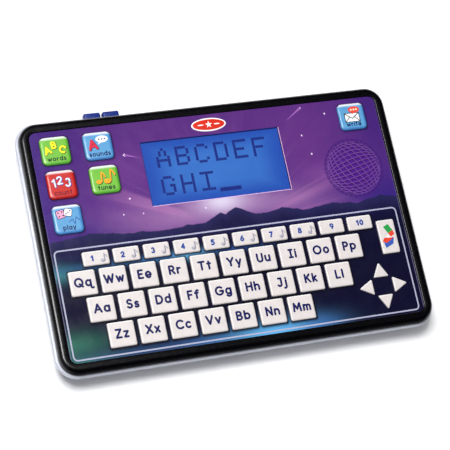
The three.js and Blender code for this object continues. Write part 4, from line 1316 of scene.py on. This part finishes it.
FOOT_X, FOOT_Y, FOOT_RADIUS = 98, 55, 6
CASE_SCREWS = [(-118.6, -62), (118.6, -62), (-118.6, 62), (118.6, 62), (0, -75), (0, 75)]
WELL_RADIUS, WELL_TOP_Z = 2.8, 12
BAY_X, BAY_Y, BAY_WIDTH, BAY_DEPTH, BAY_TOP_Z, BAY_WALL = -4, 30, 54, 36, 14.9, 1.5
CELL_PITCH, CELL_RADIUS, CELL_LENGTH, CELL_Z = 11.3, 5.25, 44.5, 9.4
BOSS_RADIUS = 3.8
THREAD_PITCH = 0.72
SPRING_TURNS, SPRING_STEPS = 4, 60
DOOR_CORNER, DOOR_COLLAR, DOOR_COLLAR_TOP_Z = 3, 2.3, 5.6
POST_RADIUS, POST_TOP_Z, POST_HOLE_RADIUS, POST_HOLE_TOP_Z = 4, 12, 1.6, 9.8


def make_rear_cover(material, foot_rubber, screw_steel):
    """The pearl shell with its battery bay, screw wells, button windows and feet."""
    cover = new_object("rear_shell", *cover_outside())
    boolean(cover, [cover_inside()], "DIFFERENCE")

    door_low, door_high = span("battery_door")
    door = (door_low + door_high) / 2
    bay = rectangle(*on_face(BAY_X, BAY_Y), BAY_WIDTH, BAY_DEPTH)
    root = FLOOR_Z + COVER_FLOOR / 2
    opening = rectangle(door.x, door.y, door_high.x - door_low.x, door_high.y - door_low.y)
    screw = middle("door_screw")
    added = [
        prism(grow(bay, BAY_WALL), root, BAY_TOP_Z + 1.1),
        prism(grow(opening, DOOR_COLLAR), root, DOOR_COLLAR_TOP_Z),
        prism(circle(screw.x, screw.y, POST_RADIUS), root, POST_TOP_Z),
    ]
    boss_top_z = COVER_HIGH.z - 0.1
    bosses = [prism(circle(*on_face(x, y), BOSS_RADIUS, 24), root, boss_top_z) for x, y in CASE_SCREWS]
    added.append(trimmed(bosses, cover_outside()))
    feet = [on_face(sx * FOOT_X, sy * FOOT_Y) for sx in (-1, 1) for sy in (-1, 1)]
    for x, y in feet:
        added.append(loft([(circle(x, y, FOOT_RADIUS - 0.4), 0.3), (circle(x, y, FOOT_RADIUS), 0.7),
                           (circle(x, y, FOOT_RADIUS), root)]))
    boolean(cover, added, "UNION")

    removed = [
        prism(bay, FLOOR_Z, BAY_TOP_Z),
        prism(rounded(grow(opening, GAP), DOOR_CORNER, 6), -1, FLOOR_Z + COVER_FLOOR),
        prism(circle(screw.x, screw.y, POST_HOLE_RADIUS, 20), FLOOR_Z, POST_HOLE_TOP_Z),
    ]
    removed += [prism(circle(*on_face(x, y), WELL_RADIUS, 24), -1, WELL_TOP_Z)
                for x, y in CASE_SCREWS]
    wall_inside = COVER_HIGH.y - COVER_WALL
    for node in ("power_button", "volume_button"):
        low, high = span(node)
        width, height = high.x - low.x + 2 * GAP, high.z - low.z + 2 * GAP
        window = rounded(rectangle(0, 0, width - 1, height - 1), 1.6, 5)
        pocket = rectangle(0, 0, width, height)
        removed.append(along_y(prism(window, wall_inside - 1, COVER_HIGH.y + 1), middle(node)))
        removed.append(along_y(prism(pocket, wall_inside - EDGE_BUTTON_POCKET, wall_inside), middle(node)))
    boolean(cover, removed, "DIFFERENCE")
    smooth(cover, 28)
    finish_piece(cover, "case", "pearl_shell", material, "rear_cover")

    for index, (x, y) in enumerate(feet):
        rings = [(circle(x, y, r), z) for r, z in ((4.2, 0.0), (4.75, 0.12), (4.9, 0.4), (4.9, 0.8))]
        pad = new_object(f"foot_pad_{index}", *loft(rings))
        finish_piece(pad, "case", "silicone", foot_rubber)
    for index, (x, y) in enumerate(CASE_SCREWS):
        head = cross_head_screw(f"case_screw_{index}", *on_face(x, y), 10.2, 2.5, 1.6)
        finish_piece(head, "case", "screw_steel", screw_steel)


def trimmed(parts, limit):
    """Closed parts without what stands out of a limiting solid."""
    piece = boolean(new_object("trimmed", *merged(parts)), [limit], "INTERSECT")
    vertices = [vertex.co / MM for vertex in piece.data.vertices]
    faces = [tuple(polygon.vertices) for polygon in piece.data.polygons]
    bpy.data.objects.remove(piece)
    return vertices, faces


def along_y(part, centre):
    """A closed part that was built up along Z, laid down along Y at a place across and up."""
    vertices, faces = part
    laid = [(centre.x + x, y, centre.z + z) for x, z, y in vertices]
    return laid, [tuple(reversed(face)) for face in faces]


def cross_head_screw(name, x, y, face_z, radius, depth):
    """A screw head that faces down, with a domed face and a cross recess."""
    rings = []
    for r, z in ((0.35, 0.0), (0.75, 0.12), (0.95, 0.32), (1.0, 0.55)):
        rings.append((circle(x, y, radius * r), face_z + z * depth * 0.6))
    rings.append((circle(x, y, radius), face_z + depth))
    head = new_object(name, *loft(rings))
    slots = [prism(rectangle(x, y, *size), face_z - 1, face_z + depth * 0.45)
             for size in ((radius * 1.15, radius * 0.28), (radius * 0.28, radius * 1.15))]
    boolean(head, slots, "DIFFERENCE")
    return smooth(head)


def make_battery_door(material, screw_steel):
    """The door with a soft edge, grip ribs and a recess for its captive screw."""
    low, high = span("battery_door")
    centre = (low + high) / 2
    outline = rectangle(centre.x, centre.y, high.x - low.x, high.y - low.y)
    rings = [(rounded(grow(outline, -i), DOOR_CORNER - i, 6), z) for i, z in
             ((0.6, low.z), (0.2, low.z + 0.12), (0, low.z + 0.5), (0, high.z))]
    door = new_object("battery_hatch", *loft(rings))
    screw = middle("door_screw")
    ribs = []
    for k in range(7):
        x = low.x + 6 + k * 2.2
        ribs.append(prism(rounded(rectangle(x, centre.y, 1.0, 20), 0.45, 4), low.z - 1, low.z + 0.6))
    holes = [prism(circle(screw.x, screw.y, 3.1), low.z - 1, low.z + 1.3),
             prism(circle(screw.x, screw.y, POST_HOLE_RADIUS, 20), low.z - 1, high.z + 1)]
    boolean(door, ribs + holes, "DIFFERENCE")
    smooth(door, 28)
    finish_piece(door, "battery_door", "pearl_shell", material, "battery_door")

    screw_low, screw_high = span("door_screw")
    head = cross_head_screw("hatch_screw", screw.x, screw.y, screw_low.z, 2.8, 0.9)
    finish_piece(head, "battery_door", "screw_steel", screw_steel, "door_screw")
    turns, steps = 9, 12
    thread = []
    for k in range(turns * steps + 1):
        angle = 2 * math.pi * k / steps
        thread.append(Vector((screw.x + 1.1 * math.cos(angle), screw.y + 1.1 * math.sin(angle),
                              screw_low.z + 1.3 + THREAD_PITCH * k / steps)))
    shank = tube("hatch_screw_thread", thread, 0.2)
    finish_piece(shank, "battery_door", "screw_steel", screw_steel)
    core = new_object("hatch_screw_core", *loft([
        (circle(screw.x, screw.y, 1.1, 20), screw_low.z + 0.8),
        (circle(screw.x, screw.y, 1.05, 20), screw_high.z - 1.2),
        (circle(screw.x, screw.y, 0.25, 20), screw_high.z)]))
    finish_piece(core, "battery_door", "screw_steel", screw_steel)


def tube(name, points, radius):
    """A round wire along points in millimetres, as a mesh."""
    curve = bpy.data.curves.new(name, "CURVE")
    curve.dimensions = "3D"
    curve.bevel_depth = radius * MM
    curve.bevel_resolution = 3
    curve.use_fill_caps = True
    spline = curve.splines.new("POLY")
    spline.points.add(len(points) - 1)
    for target, point in zip(spline.points, points):
        target.co = (*(point * MM), 1)
    wire = bpy.data.objects.new(name, curve)
    bpy.context.scene.collection.objects.link(wire)
    bpy.context.view_layer.update()
    mesh = bpy.data.meshes.new_from_object(wire.evaluated_get(bpy.context.evaluated_depsgraph_get()))
    bpy.data.objects.remove(wire)
    obj = bpy.data.objects.new(name, mesh)
    bpy.context.scene.collection.objects.link(obj)
    return smooth(obj, 50)


def turned_cell_part(name, profile, place, way, material):
    """A solid of the battery set turned about X from (along, radius) pairs, facing +X or -X."""
    vertices, faces = loft([(circle(0, 0, r, 28), along) for along, r in profile])
    piece = new_object(name, [(v[2], v[0], v[1]) for v in vertices], faces, location=place)
    piece.rotation_euler = (0, 0, 0 if way > 0 else math.pi)
    return finish_piece(piece, "case", "cells", material)


def make_batteries(jacket, metal):
    """Three dry cells with their springs and contact plates in the bay."""
    bay_x, bay_y = on_face(BAY_X, BAY_Y)
    half = CELL_LENGTH / 2
    first = None
    for index, row in enumerate((-1, 0, 1)):
        way = 1 if index % 2 == 0 else -1
        y = bay_y + row * CELL_PITCH
        r = CELL_RADIUS
        jacket_profile = [(-half, r - 0.5), (-half + 0.3, r), (half - 1.2, r), (half - 0.9, r - 0.5)]
        nub_profile = [(half - 1.0, 3.6), (half - 0.8, 3.6), (half - 0.7, 1.8), (half + 0.5, 1.7),
                       (half + 0.6, 1.4)]
        cell = turned_cell_part(f"cell_{index}", jacket_profile, (bay_x, y, CELL_Z), way, jacket)
        first = first or cell
        turned_cell_part(f"cell_{index}_nub", nub_profile, (bay_x, y, CELL_Z), way, metal)
        coil = []
        for k in range(SPRING_STEPS + 1):
            angle = 2 * math.pi * SPRING_TURNS * k / SPRING_STEPS
            radius = 2.0 + 1.6 * k / SPRING_STEPS
            coil.append(Vector((bay_x - way * (half + 0.2 + 3.0 * k / SPRING_STEPS),
                                y + radius * math.cos(angle), CELL_Z + radius * math.sin(angle))))
        finish_piece(tube(f"spring_{index}", coil, 0.3), "case", "cells", metal)
    for side in (-1, 1):
        x = bay_x + side * (half + 3.7)
        plates = []
        for low_row, high_row in (((-1, 0), (1, 1)) if side > 0 else ((0, 1), (-1, -1))):
            y0 = bay_y + low_row * CELL_PITCH - 4
            y1 = bay_y + high_row * CELL_PITCH + 4
            plates.append(prism(rectangle(x, (y0 + y1) / 2, 0.5, y1 - y0), CELL_Z - 4, CELL_Z + 4))
        plate = new_object(f"contacts_{'left' if side < 0 else 'right'}", *merged(plates))
        finish_piece(plate, "case", "cells", metal)
    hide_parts("battery_set")


def make_edge_buttons(material):
    """Two pillow-shaped push buttons on the far edge."""
    for node in ("power_button", "volume_button"):
        low, high = span(node)
        width, height = high.x - low.x, high.z - low.z
        flange, corner, pillow = 0.5, 1.6, 1.1
        flange_near, flange_far = low.y + 1.4, low.y + 2.9
        outline = rectangle(0, 0, width - 2 * flange, height - 2 * flange)
        stem = rounded(grow(outline, -1), 0.9, 5)
        collar = rounded(grow(outline, flange), corner, 5)
        rings = [(stem, low.y), (stem, flange_near), (collar, flange_near), (collar, flange_far),
                 (rounded(outline, corner, 5), flange_far)]
        for angle in quarter_turn(7):
            inset = pillow * (1 - math.cos(angle))
            rings.append((rounded(grow(outline, -inset), max(corner - inset, 0.5), 5),
                          high.y - pillow + pillow * math.sin(angle)))
        button = new_object(f"{node}_cap", *along_y(loft(rings), middle(node)))
        finish_piece(button, node, "edge_blue", material, node)


# The rubber mat's sheet in face places: under the keys, up the left side, along the far edge, far right
MAT_ZONES = [(-113, -70.6, 113, -4.5), (-113.5, -6, -65, 72), (-66, 67.6, 90, 72), (89, 52.5, 112, 72)]
MAT_THICKNESS = 0.8


def make_key_mat(material):
    """The rubber mat: one sheet, and under each key and button a dome; the real domes flatten when pressed,
    these keep their shape.
    """
    low, high = span("key_mat")
    sheet_top = low.z + MAT_THICKNESS
    zones = []
    for x0, y0, x1, y1 in MAT_ZONES:
        x, y = on_face((x0 + x1) / 2, (y0 + y1) / 2)
        zones.append(prism(rectangle(x, y, x1 - x0, y1 - y0), low.z, sheet_top))
    finish_piece(new_object("mat_sheet", *merged(zones)), "case", "silicone", material, "key_mat")
    for node in LETTER_KEYS + NUMBER_KEYS + ARROW_KEYS + ["key_erase"] + MODE_BUTTONS:
        cap_low, cap_high = span(node)
        centre = (cap_low + cap_high) / 2
        radius = min(0.26 * min(cap_high.x - cap_low.x, cap_high.y - cap_low.y), 4)
        rings = [(circle(centre.x, centre.y, radius * r, 20), sheet_top + (high.z - sheet_top) * h)
                 for r, h in ((1, 0), (0.96, 0.4), (0.85, 0.8), (0.7, 1.0))]
        dome = finish_piece(new_object(f"dome_{node}", *loft(rings)), "case", "silicone", material)
        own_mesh(dome)


GRILLE_UNDERSIDE = 0.8              # how far below the face the thinned grille ends


def make_grille_cloth():
    """A disc of cloth pressed against the underside of the thinned grille."""
    centre = middle("speaker")
    rings = [(circle(0, 0, r, 48), FACE_Z - GRILLE_UNDERSIDE + z) for r, z in
             ((20.8, -0.3), (20.8, -0.1), (18, -0.04), (10, -0.03))]
    cloth = new_object("grille_cloth", *loft(rings), location=(centre.x, centre.y, 0))
    finish_piece(cloth, "case", "speaker_parts", grille_cloth())


def dress_cad_nodes():
    """Materials for the CAD nodes that stay as they are."""
    nodes = {
        "face_panel": face_print(),
        "lcd_window": clear_lens(),
        "lcd_module": display_glow(),
        "circuit_board": board_green(),
        "speaker": moulded("speaker_basket", srgb(40, 40, 46), 0.5),
    }
    for name, material in nodes.items():
        mesh = frame["nodes"][name].data
        mesh.materials.clear()
        mesh.materials.append(material)


# ---------------------------------------------------------------- stage, light and camera


def make_floor():
    shader = Shader("paper_sweep")
    shader.set(
        Base_Color=shader.mix(shader.uneven(3, 3), srgb(248, 248, 248), srgb(250, 250, 251)),
        Roughness=0.9,
        Specular_IOR_Level=0.1,
    )
    size = 3000
    floor = new_object("floor", [(-size, -size, 0), (size, -size, 0), (size, size, 0), (-size, size, 0)],
                       [(0, 1, 2, 3)])
    floor.data.materials.append(shader.material)


def area_light(name, place_m, size_m, watts, lights=True, reflected=True):
    """A soft rectangular light that points at the middle of the toy."""
    data = bpy.data.lights.new(name, "AREA")
    data.shape = "RECTANGLE"
    data.size, data.size_y = size_m
    data.energy = watts
    light = bpy.data.objects.new(name, data)
    light.location = place_m
    light.rotation_euler = (-Vector(place_m)).to_track_quat("-Z", "Y").to_euler()
    light.visible_diffuse = lights
    light.visible_glossy = reflected
    bpy.context.scene.collection.objects.link(light)


def make_lights():
    world = bpy.data.worlds.new("studio")
    bpy.context.scene.world = world
    world.use_nodes = True
    background = world.node_tree.nodes["Background"]
    background.inputs["Color"].default_value = (0.95, 0.97, 1.0, 1.0)
    background.inputs["Strength"].default_value = 0.1
    world.cycles_visibility.glossy = False
    area_light("key_light", (-0.48, 0.3, 1.55), (0.6, 0.6), 28.0)
    area_light("fill_light", (0.15, -0.05, 2.2), (2.0, 2.0), 13.0, reflected=False)
    area_light("left_panel", (-1.4, 0.1, 0.9), (2.6, 1.6), 2.5, lights=False)
    bpy.context.scene.view_settings.view_transform = "Standard"


# The camera looks down from the near left, and is rolled so that the toy lies askew
CAMERA_AZIMUTH = -50.12
CAMERA_ELEVATION = 66.77
CAMERA_ROLL = 40.25
CAMERA_DISTANCE_M = 1.1052
CAMERA_TARGET_M = (-0.00355, -0.00269, 0.0242)
CAMERA_LENS = 136.85


def make_camera():
    azimuth, elevation = math.radians(CAMERA_AZIMUTH), math.radians(CAMERA_ELEVATION)
    back = Vector((math.sin(azimuth) * math.cos(elevation), -math.cos(azimuth) * math.cos(elevation),
                   math.sin(elevation)))
    data = bpy.data.cameras.new("camera")
    data.lens = CAMERA_LENS
    data.sensor_width = 36
    camera = bpy.data.objects.new("camera", data)
    roll = Matrix.Rotation(math.radians(CAMERA_ROLL), 4, "Z")
    turn = back.to_track_quat("Z", "Y").to_matrix().to_4x4() @ roll
    camera.matrix_world = Matrix.Translation(Vector(CAMERA_TARGET_M) + back * CAMERA_DISTANCE_M) @ turn
    bpy.context.scene.collection.objects.link(camera)
    bpy.context.scene.camera = camera


# ---------------------------------------------------------------- build

# Each ink's key, material name, display colour and roughness
INK_TABLE = [
    ("navy", "ink_navy", (8, 14, 82), 0.4),
    ("steel_blue", "ink_steel_blue", (40, 68, 146), 0.4),
    ("white", "ink_white", (248, 248, 250), 0.4),
    ("note_white", "note_white", (168, 166, 178), 0.4),
    ("note_grey", "ink_grey", (92, 90, 112), 0.4),
    ("yellow", "ink_yellow", (250, 240, 40), 0.4),
    ("orange", "ink_orange", (244, 160, 32), 0.4),
    ("crimson", "ink_crimson", (206, 40, 66), 0.4),
    ("coral", "ink_coral", (226, 72, 58), 0.4),
    ("cream", "ink_cream", (252, 226, 190), 0.4),
    ("pink", "ink_pink", (232, 160, 190), 0.4),
    ("pale_blue", "ink_pale_blue", (214, 222, 246), 0.4),
    ("deep_blue", "ink_deep_blue", (36, 62, 150), 0.4),
    ("dark", "ink_dark", (24, 22, 44), 0.4),
    ("dark_green", "ink_dark_green", (14, 46, 34), 0.4),
    ("dark_red", "ink_dark_red", (104, 8, 30), 0.4),
    ("erase_green", "ink_erase_green", (36, 150, 70), 0.4),
    ("erase_red", "ink_erase_red", (220, 62, 40), 0.4),
    ("erase_blue", "ink_erase_blue", (52, 84, 170), 0.4),
    ("lavender", "ink_lavender", (166, 168, 192), 0.4),
    ("star", "ink_star", (226, 206, 236), 0.4),
    ("trail", "ink_trail", (146, 88, 166), 0.4),
    # Painted highlight and painted shade for the edges of the display window
    ("glint", "ink_glint", (216, 176, 214), 0.4),
    ("window_shade", "ink_window_shade", (40, 30, 110), 0.4),
    ("badge_white", "badge_white", (250, 244, 240), 0.4),
    ("badge_red", "badge_red", (206, 46, 30), 0.25),
    ("display_ink", "display_ink", (14, 30, 118), 0.4),
]
INKS = {key: ink(name, srgb(*colour), roughness) for key, name, colour, roughness in INK_TABLE}

pearl = pearl_shell()
screws = steel()
make_camera()
make_floor()
make_lights()
dress_cad_nodes()
make_bezel(gloss_black())
make_rear_cover(pearl, rubber("foot_rubber", srgb(34, 34, 36)), screws)
make_battery_door(pearl, screws)
make_batteries(cell_jacket(), screws)
make_edge_buttons(moulded("edge_button_blue", srgb(16, 42, 122), 0.35, coat=0.15))
make_grille_cloth()
make_key_mat(rubber("mat_silicone", srgb(150, 153, 162)))
make_keys(key_plastic(), INKS)
make_erase_pictogram(INKS)
make_mode_buttons(INKS)
make_display(INKS)
make_face_prints(INKS)
